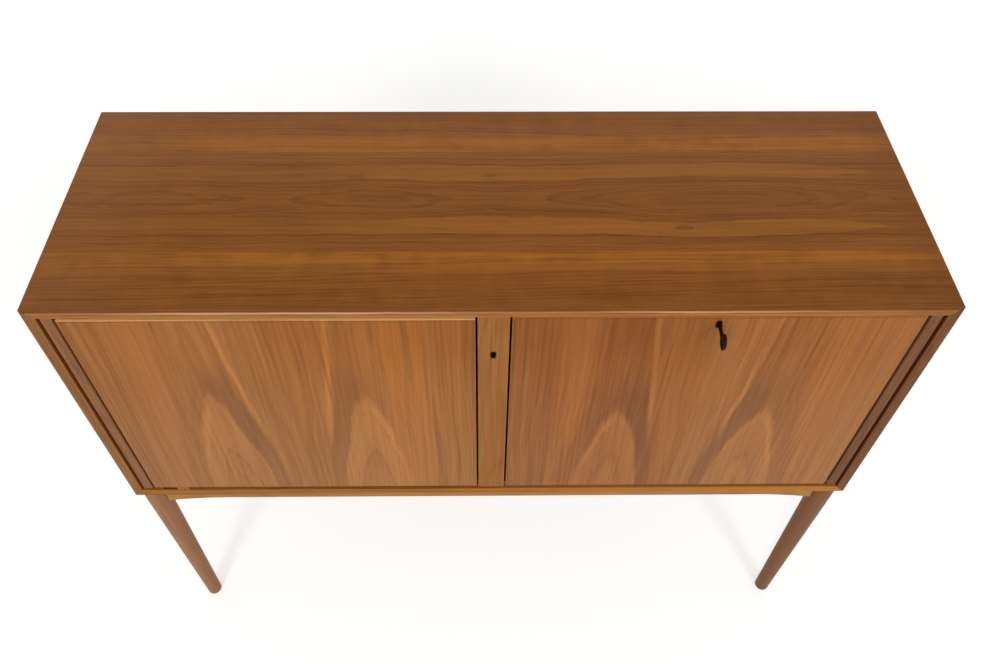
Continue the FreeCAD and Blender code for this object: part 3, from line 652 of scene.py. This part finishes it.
def figuredLeaf(tree, onLeaf, along, fibres, handling, look):
    # The middle leaf: rings round a pith just under the face, drawn in by the small eyes.
    dip = 0.0
    for offAcross, offAlong, breadth, length, depth in look["islands"]:
        eye = tree.use(
            "island", place=onLeaf, across=offAcross, along=offAlong, breadth=breadth,
            length=length, depth=depth,
        )
        dip = tree.add(dip, eye["dip"])
    pithDepth = tree.curve(along, look["pith"], "CARDINAL")
    rings = tree.use("growthRings", place=onLeaf, pithDepth=pithDepth, dip=dip, **look["centreRings"])
    low, high, soft = look["tongue"]
    off = tree.size(tree.take(rings["distance"], (low + high) / 2))
    pointed = tree.add(along, tree.times(off, look["tonguePoint"]))
    tongue = tree.times(
        look["tongueShade"], tree.band(rings["distance"], low, high, soft),
        tree.ramp(pointed, *look["tongueEnd"]), tree.ramp(along, *look["tongueStart"]),
    )
    shade = tree.add(tree.curve(rings["distance"], look["figure"]), tongue)
    return woodColour(tree, shade, rings, fibres, handling, look)


# The strip along the front of the top: its upper face carries on the top's veneer, and its
# front face is solid wood in bands, one of them a painted highlight. Depths are from the top down; places
# run along X.
topStripLook = lookOf(
    (170, 112, 57),
    waves=9.0, wander=0.0024,
    grain=dict(streakWidth=0.0016, streakLength=0.12, seed=8.0),
    rings=dict(pithDepth=0.07, taper=0.02, ringWidth=0.0026, seed=8.0),
    # the dark line under the arris
    line=colour(100, 52, 20), lineDepth=(0.0028, 0.0060, 0.85, 0.0),
    # a painted highlight of the rounded arris: a pale band that comes and goes along the strip, and a brown
    # band under it
    pink=colour(214, 160, 118), pinkBand=(0.0046, 0.0078, 0.0012),
    pinkBreaks=(0.25, 0.55, 0.5, 1.0),
    pinkShares=[
        (-0.600, 0.10), (-0.500, 0.15), (-0.380, 0.90), (-0.200, 1.00), (-0.090, 0.45),
        (-0.030, 0.15), (0.120, 0.15), (0.220, 0.70), (0.300, 0.70), (0.440, 0.10),
        (0.530, 0.00), (0.600, 0.00),
    ],
    brown=colour(126, 76, 38), brownBand=(0.0086, 0.0098, 0.0008),
    brownBreaks=(0.35, 0.6, 0.25, 0.8),
    endTone=colour(144, 94, 54), endShare=(0.49, 0.56, 0.0, 0.75),
    veneerDepth=(0.0009, 0.0002),
)


def stripWood(tree, place):
    look = topStripLook
    covered, fibres, handling, topFinish = topWood(tree, place)
    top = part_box("top_lipping")[1].z
    x, y, z = tree.split(place)
    wavy = tree.noise(tree.join(tree.times(x, look["waves"]), 0.0, 0.0), 3.0)
    down = tree.add(tree.take(top, z), tree.centred(wavy, look["wander"]))
    board = tree.join(down, x, y)
    grain = tree.use("fibres", place=board, **look["grain"])
    rings = tree.use("growthRings", place=board, **look["rings"])
    solid = woodColour(tree, look["shade"], rings, grain, handling, look)
    # painted highlight: the pale band stands in for the lamp's glint on the rounded arris
    pink = tree.times(
        tree.band(down, *look["pinkBand"]), tree.curve(x, look["pinkShares"]),
        tree.ramp(grain["streak"], *look["pinkBreaks"]),
    )
    solid = tree.mix(solid, look["pink"], pink)
    brown = tree.times(tree.band(down, *look["brownBand"]), tree.ramp(wavy, *look["brownBreaks"]))
    solid = tree.mix(solid, look["brown"], brown)
    solid = tree.mix(solid, look["endTone"], tree.ramp(x, *look["endShare"]))
    solid = tree.mix(solid, look["line"], tree.ramp(down, *look["lineDepth"]))
    start, end = look["veneerDepth"]
    wood = tree.mix(solid, covered, tree.ramp(z, top - start, top - end))
    return wood, fibres, handling, look


# The other wooden pieces: which way their grain runs, and their finish.
# The left side edge, jamb and legs are lighter and the right ones darker: partly the wood's own tone, partly
# painted light from the left.
lookLeftEdgeLit = lookOf((148, 101, 57), streaks=1.5)
lookRightEdgeShaded = lookOf((119, 75, 40), streaks=1.3)
lookSide = lookOf((126, 80, 44))
lookStile = lookOf((158, 101, 48), streaks=0.9, fibres=0.35, worn=1.0)
lookLeftJambLit = lookOf((146, 98, 62), streaks=1.4, worn=0.6)
lookRightJambShaded = lookOf((124, 82, 53), streaks=1.5, worn=0.6)
lookBottomEdge = lookOf(
    (162, 102, 36), streaks=1.4, pale=colour(190, 124, 44), paleShare=(-0.2, 0.5, 0.0, 0.7)
)
lookSill = lookOf((128, 66, 26))
lookInside = lookOf((146, 92, 50))
# lit left legs and shaded right legs: partly painted light from the left
lookLeftLegLit = lookOf((164, 115, 80))
lookRightLegShaded = lookOf((133, 89, 58))
lookRail = lookOf((178, 126, 72), streaks=0.7)
lookBack = lookOf((156, 112, 68), pores=0.2)
lookBlock = lookOf((190, 152, 106), pores=0.15, ringLines=0.16)
lookPly = lookOf((196, 160, 112), pores=0.1, ringLines=0.1)

plainPieces = (
    ("YZX", lookSide, "left_side_panel", "right_side_panel"),
    ("XZY", lookLeftEdgeLit, "left_side_lipping"),
    ("XZY", lookRightEdgeShaded, "right_side_lipping"),
    ("YXZ", lookInside, "bottom_panel"),
    ("ZXY", lookBottomEdge, "bottom_lipping"),
    ("ZXY", lookSill, "sill_strip"),
    ("ZXY", lookBottomEdge, "door_rest"),
    ("ZXY", lookSill, "door_stops"),
    ("YZX", lookInside, "partition"),
    ("XZY", lookStile, "centre_stile"),
    ("XZY", lookLeftJambLit, "left_jamb"),
    ("XZY", lookRightJambShaded, "right_jamb"),
    ("YXZ", lookInside, "left_shelf", "bar_shelf"),
    ("XZY", lookBack, "back_panel"),
    ("XZY", lookPly, "mitre_splines"),
    ("XZY", lookLeftLegLit, "front_left_leg"),
    ("XZY", lookRightLegShaded, "front_right_leg"),
    ("XZY", lookLeftLegLit, "back_left_leg"),
    ("XZY", lookRightLegShaded, "back_right_leg"),
    ("ZXY", lookRail, "front_rail", "back_rail"),
    ("ZYX", lookRail, "left_rail", "right_rail"),
    ("ZXY", lookBlock, "front_left_brace", "front_right_brace", "back_left_brace", "back_right_brace"),
    ("YZX", lookBlock, "left_stay_block", "right_stay_block"),
)
plainValues = {
    "firstSeed": 4.0, "rounded": ("leg", "splines"),
    "shift": 0.012, "shiftStep": 2.1, "pithDepth": 0.07, "pithSwing": 0.02,
    "rings": dict(taper=0.03, ringWidth=0.0032, wander=0.005, wanderLength=0.3, ripple=0.0008),
    "grain": dict(streakWidth=0.004, streakLength=0.25),
    "cloudSize": 0.1,
}
keyholes = {"centre_stile": "stile_escutcheon"}
# painted light on the left groove wall and painted shade on the right one
grooveWallShades = {"left_side": (1, colour(150, 76, 28)), "right_side": (-1, colour(104, 48, 20))}


def plainWood(tree, place, name, axes, look, seed):
    # Solid walnut or a quiet veneer, with a pith of its own outside the piece.
    values = plainValues
    low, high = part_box(name)
    across, along, into = grainPlace(tree, place, axes, (low + high) / 2)
    shift = values["shift"] * math.sin(seed * values["shiftStep"])
    board = tree.join(tree.add(across, shift), along, into)
    pithDepth = values["pithDepth"] + values["pithSwing"] * math.sin(seed)
    rings = tree.use("growthRings", place=board, pithDepth=pithDepth, seed=seed, **values["rings"])
    fibres = tree.use("fibres", place=board, seed=seed, **values["grain"])
    handling = tree.use("handling", place=place, cloudSize=values["cloudSize"], seed=seed)
    wood = woodColour(tree, look["shade"], rings, fibres, handling, look)
    if "pale" in look:
        wood = tree.mix(wood, look["pale"], tree.ramp(along, *look["paleShare"]))
    if not name.endswith(values["rounded"]):
        wood = wornEdges(tree, place, wood, name, look, seed)
    if name in keyholes:
        wood = keyholeShade(tree, place, wood, keyholes[name])
    side = name.rpartition("_")[0]
    if side in grooveWallShades:
        wood = paintGrooveWall(tree, place, wood, low, high, *grooveWallShades[side])
    return wood, fibres, handling, look


boreValues = {
    "grease": colour(20, 12, 8), "narrowness": 0.55, "radius": (0.0040, 0.0044, 1.0, 0.0),
    "behindPlate": (0.0004, 0.0010),
}


def keyholeShade(tree, place, wood, plate):
    # Painted shade blackens the wood inside a keyhole.
    values = boreValues
    low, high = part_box(plate)
    x, y, z = tree.split(place)
    centre = (low + high) / 2
    aside = tree.size(tree.take(x, centre.x))
    above = tree.times(tree.size(tree.take(z, centre.z)), values["narrowness"])
    start, end = values["behindPlate"]
    inside = tree.times(
        tree.ramp(tree.most(aside, above), *values["radius"]), tree.ramp(y, low.y + start, low.y + end)
    )
    return tree.mix(wood, values["grease"], inside)


wallValues = {"skin": (0.0002, 0.0009, 1.0, 0.0), "reach": (0.05, 0.07), "share": 0.9}


def paintGrooveWall(tree, place, wood, low, high, way, wallTone):
    # Painted light and shade on the wall of the groove between a side board and its jamb: lighter on the
    # left wall, darker on the right.
    values = wallValues
    x, y, z = tree.split(place)
    fromWall = tree.take(high.x, x) if way > 0 else tree.take(x, low.x)
    start, end = (cadBounds[0].y + depth for depth in values["reach"])
    share = tree.times(tree.ramp(fromWall, *values["skin"]), tree.ramp(y, start, end, values["share"], 0.0))
    return tree.mix(wood, wallTone, share)


metalValues = {
    "cloudSize": 0.012, "seed": 3.0, "finePace": 900.0, "patinaLevels": (0.35, 0.7),
    "patinaRough": 0.25, "fineRough": 0.1, "reliefStrength": 0.2, "relief": 0.00005,
}


def metal(name, base, roughness, patina, patinaShare, metallic=1.0):
    # Turned or pressed metal with a dull, uneven skin.
    values = metalValues
    material, tree, shader, place = newMaterial(name)
    handling = tree.use("handling", place=place, cloudSize=values["cloudSize"], seed=values["seed"])
    fine = tree.noise(tree.scaled(place, values["finePace"]), 2.0, 0.6)
    dull = tree.ramp(handling["cloud"], *values["patinaLevels"], 0.0, patinaShare)
    tree.put(shader.inputs["Base Color"], tree.mix(base, patina, dull))
    shader.inputs["Metallic"].default_value = metallic
    rough = tree.add(tree.times(dull, values["patinaRough"]), tree.times(fine, values["fineRough"]))
    tree.put(shader.inputs["Roughness"], tree.add(rough, roughness))
    relief(tree, shader, fine, values["reliefStrength"], values["relief"])
    return material


def dress(material, *names):
    for name in names:
        slots = nodes[name].data.materials
        if len(slots) == 0:
            slots.append(material)
        for index in range(len(slots)):
            slots[index] = material


brass = metal("brass", colour(206, 164, 88), 0.28, colour(120, 84, 40), 0.45)
bronzed = metal("bronzed", colour(128, 68, 32), 0.5, colour(84, 42, 20), 0.6, 0.25)
iron = metal("darkIron", colour(48, 30, 22), 0.45, colour(22, 12, 9), 0.6)
blackPlate = metal("blackPlate", colour(30, 24, 20), 0.5, colour(14, 11, 9), 0.6)
steel = metal("screwSteel", colour(150, 148, 144), 0.35, colour(84, 80, 74), 0.5)


def dressAll():
    dress(wooden("topVeneer", topWood), "top_panel")
    dress(wooden("topStrip", stripWood), "top_lipping")
    dress(wooden("leftDoorVeneer", doorWood, leftDoorFigure), "left_door_panel")
    dress(wooden("flapVeneer", doorWood, flapFigure), "flap_panel")
    for name, panel, figure in (
        ("left_door_lipping", "left_door_panel", leftDoorFigure),
        ("flap_lipping", "flap_panel", flapFigure),
    ):
        dress(wooden(name, lippingWood, name, panel, figure), name)
    seed = plainValues["firstSeed"]
    for axes, look, *names in plainPieces:
        for name in names:
            dress(wooden(name + "_wood", plainWood, name, axes, look, seed), name)
            seed += 1.0
    dress(
        brass, "flap_keeper", "left_shelf_pins", "bar_shelf_pins", "stile_lock_bolt",
        "left_door_keeper", "flap_lock_bolt", "stay_brackets", "left_stay_arm",
        "right_stay_arm", "stay_studs",
    )
    dress(
        bronzed, "lower_door_pivot", "upper_door_pivot", "left_door_leaves",
        "stile_flap_pivot", "jamb_flap_pivot", "flap_leaves",
    )
    dress(blackPlate, "stile_escutcheon", "flap_escutcheon")
    dress(iron, "stile_lock_case", "flap_lock_case", "key")


dressAll()
print("finishes made,", len(bpy.data.materials), "materials")


# Screws: slotted heads, one mesh for each body and metal. Sizes in metres.
screwValues = {
    "headRadius": 0.0032, "headHeight": 0.0005, "rimShare": 0.82, "headSides": 20,
    "slotWidth": 0.0009, "slotDepth": 0.0004, "turnSeed": 7,
}


def makeScrewTree():
    # On each point of the mesh stands a head that faces the point's "facing", as large as
    # its "size" says, its slot turned at random.
    group = bpy.data.node_groups.new("screwHeads", "GeometryNodeTree")
    face = group.interface
    face.new_socket(name="Geometry", in_out="INPUT", socket_type="NodeSocketGeometry")
    for name, value in screwValues.items():
        kind = "NodeSocketInt" if isinstance(value, int) else "NodeSocketFloat"
        face.new_socket(name=name, in_out="INPUT", socket_type=kind)
    face.new_socket(name="finish", in_out="INPUT", socket_type="NodeSocketMaterial")
    face.new_socket(name="Geometry", in_out="OUTPUT", socket_type="NodeSocketGeometry")
    tree = Tree(group)
    given = group.nodes.new("NodeGroupInput").outputs
    result = group.nodes.new("NodeGroupOutput").inputs
    radius = given["headRadius"]
    height = given["headHeight"]
    cone = {
        "Vertices": given["headSides"], "Radius Top": tree.times(radius, given["rimShare"]),
        "Radius Bottom": radius, "Depth": height,
    }
    head = tree.out("Mesh", "GeometryNodeMeshCone", cone)
    # the cutter is longer than the head, and half of it is above the face
    slotSize = tree.join(tree.times(radius, 3.0), given["slotWidth"], tree.times(given["slotDepth"], 2.0))
    slot = tree.out("Mesh", "GeometryNodeMeshCube", {"Size": slotSize})
    raised = {"Geometry": slot, "Translation": tree.join(0.0, 0.0, height)}
    pair = {"Mesh 1": head, "Mesh 2": tree.out("Geometry", "GeometryNodeTransform", raised)}
    slotted = tree.out("Mesh", "GeometryNodeMeshBoolean", pair, operation="DIFFERENCE")
    facing, size = (
        tree.out("Attribute", "GeometryNodeInputNamedAttribute", {"Name": name}, data_type=kind)
        for name, kind in (("facing", "FLOAT_VECTOR"), ("size", "FLOAT"))
    )
    turn = tree.node("FunctionNodeRandomValue", {"Seed": given["turnSeed"]}, data_type="FLOAT")
    tree.put(turn.inputs[3], math.pi)
    euler = {"Euler": tree.join(0.0, 0.0, turn.outputs[1])}
    turned = {
        "Rotation": tree.out("Rotation", "FunctionNodeAlignRotationToVector", {"Vector": facing}, axis="Z"),
        "Rotate By": tree.out("Rotation", "FunctionNodeEulerToRotation", euler),
    }
    placed = {
        "Points": given["Geometry"], "Instance": slotted, "Scale": size,
        "Rotation": tree.out("Rotation", "FunctionNodeRotateRotation", turned, rotation_space="LOCAL"),
    }
    heads = tree.out("Instances", "GeometryNodeInstanceOnPoints", placed)
    real = tree.out("Geometry", "GeometryNodeRealizeInstances", {"Geometry": heads})
    finished = {"Geometry": real, "Material": given["finish"]}
    tree.put(result["Geometry"], tree.out("Geometry", "GeometryNodeSetMaterial", finished))
    return group


screwTree = makeScrewTree()


def makeScrews(name, body, finish, spots):
    # Spots are (place, facing, size).
    points = bpy.data.meshes.new(name + "_points")
    points.from_pydata([tuple(place) for place, facing, size in spots], [], [])
    points.attributes.new("facing", "FLOAT_VECTOR", "POINT")
    points.attributes.new("size", "FLOAT", "POINT")
    for index, (place, facing, size) in enumerate(spots):
        points.attributes["facing"].data[index].vector = facing
        points.attributes["size"].data[index].value = size
    carrier = bpy.data.objects.new(name + "_points", points)
    bpy.context.scene.collection.objects.link(carrier)
    modifier = carrier.modifiers.new("screws", "NODES")
    modifier.node_group = screwTree
    values = dict(screwValues, finish=finish)
    for socket in screwTree.interface.items_tree:
        if socket.in_out == "INPUT" and socket.name in values:
            modifier[socket.identifier] = values[socket.name]
    bpy.context.view_layer.update()
    evaluated = carrier.evaluated_get(bpy.context.evaluated_depsgraph_get())
    mesh = bpy.data.meshes.new_from_object(evaluated)
    carrier.modifiers.remove(modifier)
    bpy.data.objects.remove(carrier)
    screws = bpy.data.objects.new(name, mesh)
    bpy.context.scene.collection.objects.link(screws)
    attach(screws, body)


# Where the screws stand. Sizes are shares of a full head.
spotValues = {
    "braceInset": 0.17, "braceStep": 0.011, "braceSize": 1.35,
    "backMargin": 0.011, "backColumns": 5,
    "caseMargin": 0.005, "caseSize": 0.7,
    "blockStep": 0.33, "blockSlant": 0.6,
    "keeperInset": 0.11, "keeperSize": 0.75,
    "pivotInset": 0.0045, "pivotSteps": (0.014, 0.026), "plateThick": 0.003,
    "footInset": 0.0115, "footThick": 0.0025, "footStep": 0.0095, "footSize": 0.8,
    "leafSteps": (0.020, 0.034), "leafSize": 0.7,
}


def grid(xs, ys, zs, facing, size=1.0):
    return [(Vector((x, y, z)), facing, size) for x in xs for y in ys for z in zs]


def inside(low, high, inset):
    return (low + inset, high - inset)


def braceScrews():
    # Two in each corner brace, driven up into the bottom of the carcass.
    spots = []
    step = spotValues["braceStep"]
    for row, wayY in (("front", 1), ("back", -1)):
        for side, wayX in (("left", 1), ("right", -1)):
            low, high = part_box(f"{row}_{side}_brace")
            inset = (high.x - low.x) * spotValues["braceInset"]
            centre = (low + high) / 2 - Vector((wayX * inset, wayY * inset, 0.0))
            for off in (-step, step):
                place = Vector((centre.x + wayX * off, centre.y - wayY * off, low.z))
                spots.append((place, (0, 0, -1), spotValues["braceSize"]))
    return spots


def backScrews():
    # Along the four edges of the back panel, and one into the partition.
    low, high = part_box("back_panel")
    margin = spotValues["backMargin"]
    left, right = inside(low.x, high.x, margin)
    spaces = spotValues["backColumns"] - 1
    columns = [left + index * (right - left) / spaces for index in range(spaces + 1)]
    spots = grid(columns, [high.y], inside(low.z, high.z, margin), (0, 1, 0))
    return spots + grid((left, 0.0, right), [high.y], [(low.z + high.z) / 2], (0, 1, 0))


def caseScrews(name):
    # Four in the corners of a lock case, on the side that looks back.
    low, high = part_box(name)
    margin = spotValues["caseMargin"]
    columns = inside(low.x, high.x, margin)
    return grid(columns, [high.y], inside(low.z, high.z, margin), (0, 1, 0), spotValues["caseSize"])


def blockScrews(name, way):
    # Two in each packing block, above and below the stud.
    low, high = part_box(name)
    face = high.x if way > 0 else low.x
    middle = (low + high) / 2
    up = (high.z - low.z) * spotValues["blockStep"]
    back = up * spotValues["blockSlant"]
    return [
        (Vector((face, middle.y + side * back, middle.z + side * up)), (way, 0, 0), 1.0)
        for side in (-1, 1)
    ]


def keeperScrews(name, facing):
    # One at each end of a keeper plate, across from its slot.
    low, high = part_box(name)
    size = spotValues["keeperSize"]
    y = (low.y + high.y) / 2
    if facing[2] < 0:
        ends = inside(low.x, high.x, spotValues["keeperInset"] * (high.x - low.x))
        return grid(ends, [y], [low.z], facing, size)
    ends = inside(low.z, high.z, spotValues["keeperInset"] * (high.z - low.z))
    return grid([high.x], [y], ends, facing, size)


def pivotScrews(name, face, facing):
    # Two in the tail of one of the door's pivot plates or leaves, which lie along X.
    low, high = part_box(name)
    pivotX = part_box("left_door_leaves")[0].x + spotValues["pivotInset"]
    columns = [pivotX + step for step in spotValues["pivotSteps"]]
    return grid(columns, [(low.y + high.y) / 2], [face], facing, spotValues["footSize"])


def bracketScrews():
    # Two in the foot of each stay bracket, on the inner face of the flap.
    low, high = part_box("stay_brackets")
    step = spotValues["footStep"]
    middle = (low.z + high.z) / 2
    columns = inside(low.x, high.x, spotValues["footInset"])
    face = low.y + spotValues["footThick"]
    return grid(columns, [face], (middle - step, middle + step), (0, 1, 0), spotValues["footSize"])


def flapPivotScrews():
    # Two in each leaf of the flap.
    low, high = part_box("flap_leaves")
    y = (low.y + high.y) / 2
    rows = [low.z + step for step in spotValues["leafSteps"]]
    size = spotValues["leafSize"]
    return grid([low.x], [y], rows, (-1, 0, 0), size) + grid([high.x], [y], rows, (1, 0, 0), size)


def makeAllScrews():
    up = (0, 0, 1)
    down = (0, 0, -1)
    thick = spotValues["plateThick"]
    doorLow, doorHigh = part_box("left_door_leaves")
    carcassBrass = caseScrews("stile_lock_case")
    carcassBrass += blockScrews("left_stay_block", 1) + blockScrews("right_stay_block", -1)
    carcassBrass += keeperScrews("flap_keeper", down)
    makeScrews("carcass_screws", "carcass", brass, carcassBrass)
    plates = pivotScrews("upper_door_pivot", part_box("upper_door_pivot")[1].z - thick, down)
    plates += pivotScrews("lower_door_pivot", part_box("lower_door_pivot")[0].z + thick, up)
    makeScrews("pivot_screws", "carcass", bronzed, plates)
    makeScrews("frame_screws", "carcass", steel, braceScrews() + backScrews())
    makeScrews("keeper_screws", "left_door", brass, keeperScrews("left_door_keeper", (1, 0, 0)))
    leaves = pivotScrews("left_door_leaves", doorHigh.z, up)
    leaves += pivotScrews("left_door_leaves", doorLow.z, down)
    makeScrews("left_door_screws", "left_door", bronzed, leaves)
    makeScrews("flap_screws", "bar_flap", brass, bracketScrews() + caseScrews("flap_lock_case"))
    makeScrews("flap_leaf_screws", "bar_flap", bronzed, flapPivotScrews())


makeAllScrews()
print("screws made")


# Floor, lights and camera.
stageValues = {
    "floorRadius": 14.0,
    "floorColour": colour(240, 239, 236),
    "floorRoughness": 0.9,
    "floorGlow": 0.44,
    "glowFade": (1.2, 4.5),
    "skyLight": 0.55,
    "lampSize": 0.9,
    "lampAim": (0.0, 0.0, 0.6),
    "lamps": (
        ("leftLamp", (-1.3, -3.1, 2.8), 35.0),
        ("rightLamp", (1.6, -3.0, 2.7), 28.0),
    ),
    "cameraPlace": (-0.01922, -0.89093, 1.78304),
    "cameraTurn": (0.672572, -0.005627, -0.009438),
    "cameraShift": (0.00907, -0.0004),
    "focalPixels": 875.37,
    "picturePixels": 994,
    "sensorWidth": 36.0,
}


def seenDirectly(tree):
    # 1 for the camera and for mirror and glass rays, 0 for light that falls on things.
    path = tree.node("ShaderNodeLightPath").outputs
    return tree.most(path["Is Camera Ray"], path["Is Glossy Ray"], path["Is Transmission Ray"])


def makeFloor():
    radius = stageValues["floorRadius"]
    corners = [(x * radius, y * radius, 0.0) for x, y in ((-1, -1), (1, -1), (1, 1), (-1, 1))]
    mesh = bpy.data.meshes.new("floor")
    mesh.from_pydata(corners, [], [(0, 1, 2, 3)])
    floor = bpy.data.objects.new("floor", mesh)
    bpy.context.scene.collection.objects.link(floor)
    material, tree, shader, place = newMaterial("floorPaint")
    shader.inputs["Base Color"].default_value = stageValues["floorColour"]
    shader.inputs["Roughness"].default_value = stageValues["floorRoughness"]
    shader.inputs["Specular IOR Level"].default_value = 0.0
    shader.inputs["Emission Color"].default_value = (1.0, 1.0, 1.0, 1.0)
    # the floor runs into the white background further out
    x, y, z = tree.split(place)
    away = tree.math("SQRT", tree.add(tree.times(x, x), tree.times(y, y)))
    glow = tree.ramp(away, *stageValues["glowFade"], stageValues["floorGlow"], 1.0)
    tree.put(shader.inputs["Emission Strength"], tree.times(seenDirectly(tree), glow))
    mesh.materials.append(material)


def makeLights():
    world = bpy.data.worlds.new("studio")
    world.use_nodes = True
    bpy.context.scene.world = world
    tree = Tree(world.node_tree)
    sky = world.node_tree.nodes["Background"]
    sky.inputs["Color"].default_value = (1.0, 1.0, 1.0, 1.0)
    level = tree.ramp(seenDirectly(tree), 0.0, 1.0, stageValues["skyLight"], 1.0)
    tree.put(sky.inputs["Strength"], level)
    for name, place, energy in stageValues["lamps"]:
        makeLamp(name, place, energy)


def makeLamp(name, place, energy):
    data = bpy.data.lights.new(name, "AREA")
    data.shape = "DISK"
    data.size = stageValues["lampSize"]
    data.energy = energy
    lamp = bpy.data.objects.new(name, data)
    lamp.location = place
    aim = Vector(stageValues["lampAim"]) - lamp.location
    lamp.rotation_euler = aim.to_track_quat("-Z", "Y").to_euler()
    bpy.context.scene.collection.objects.link(lamp)


def makeCamera():
    data = bpy.data.cameras.new("camera")
    data.sensor_width = stageValues["sensorWidth"]
    data.lens = stageValues["focalPixels"] / stageValues["picturePixels"] * stageValues["sensorWidth"]
    data.shift_x, data.shift_y = stageValues["cameraShift"]
    camera = bpy.data.objects.new("camera", data)
    camera.location = stageValues["cameraPlace"]
    camera.rotation_euler = stageValues["cameraTurn"]
    bpy.context.scene.collection.objects.link(camera)
    bpy.context.scene.camera = camera


makeFloor()
makeLights()
makeCamera()
bpy.context.scene.view_settings.view_transform = "Standard"
print("floor, lights and camera made")
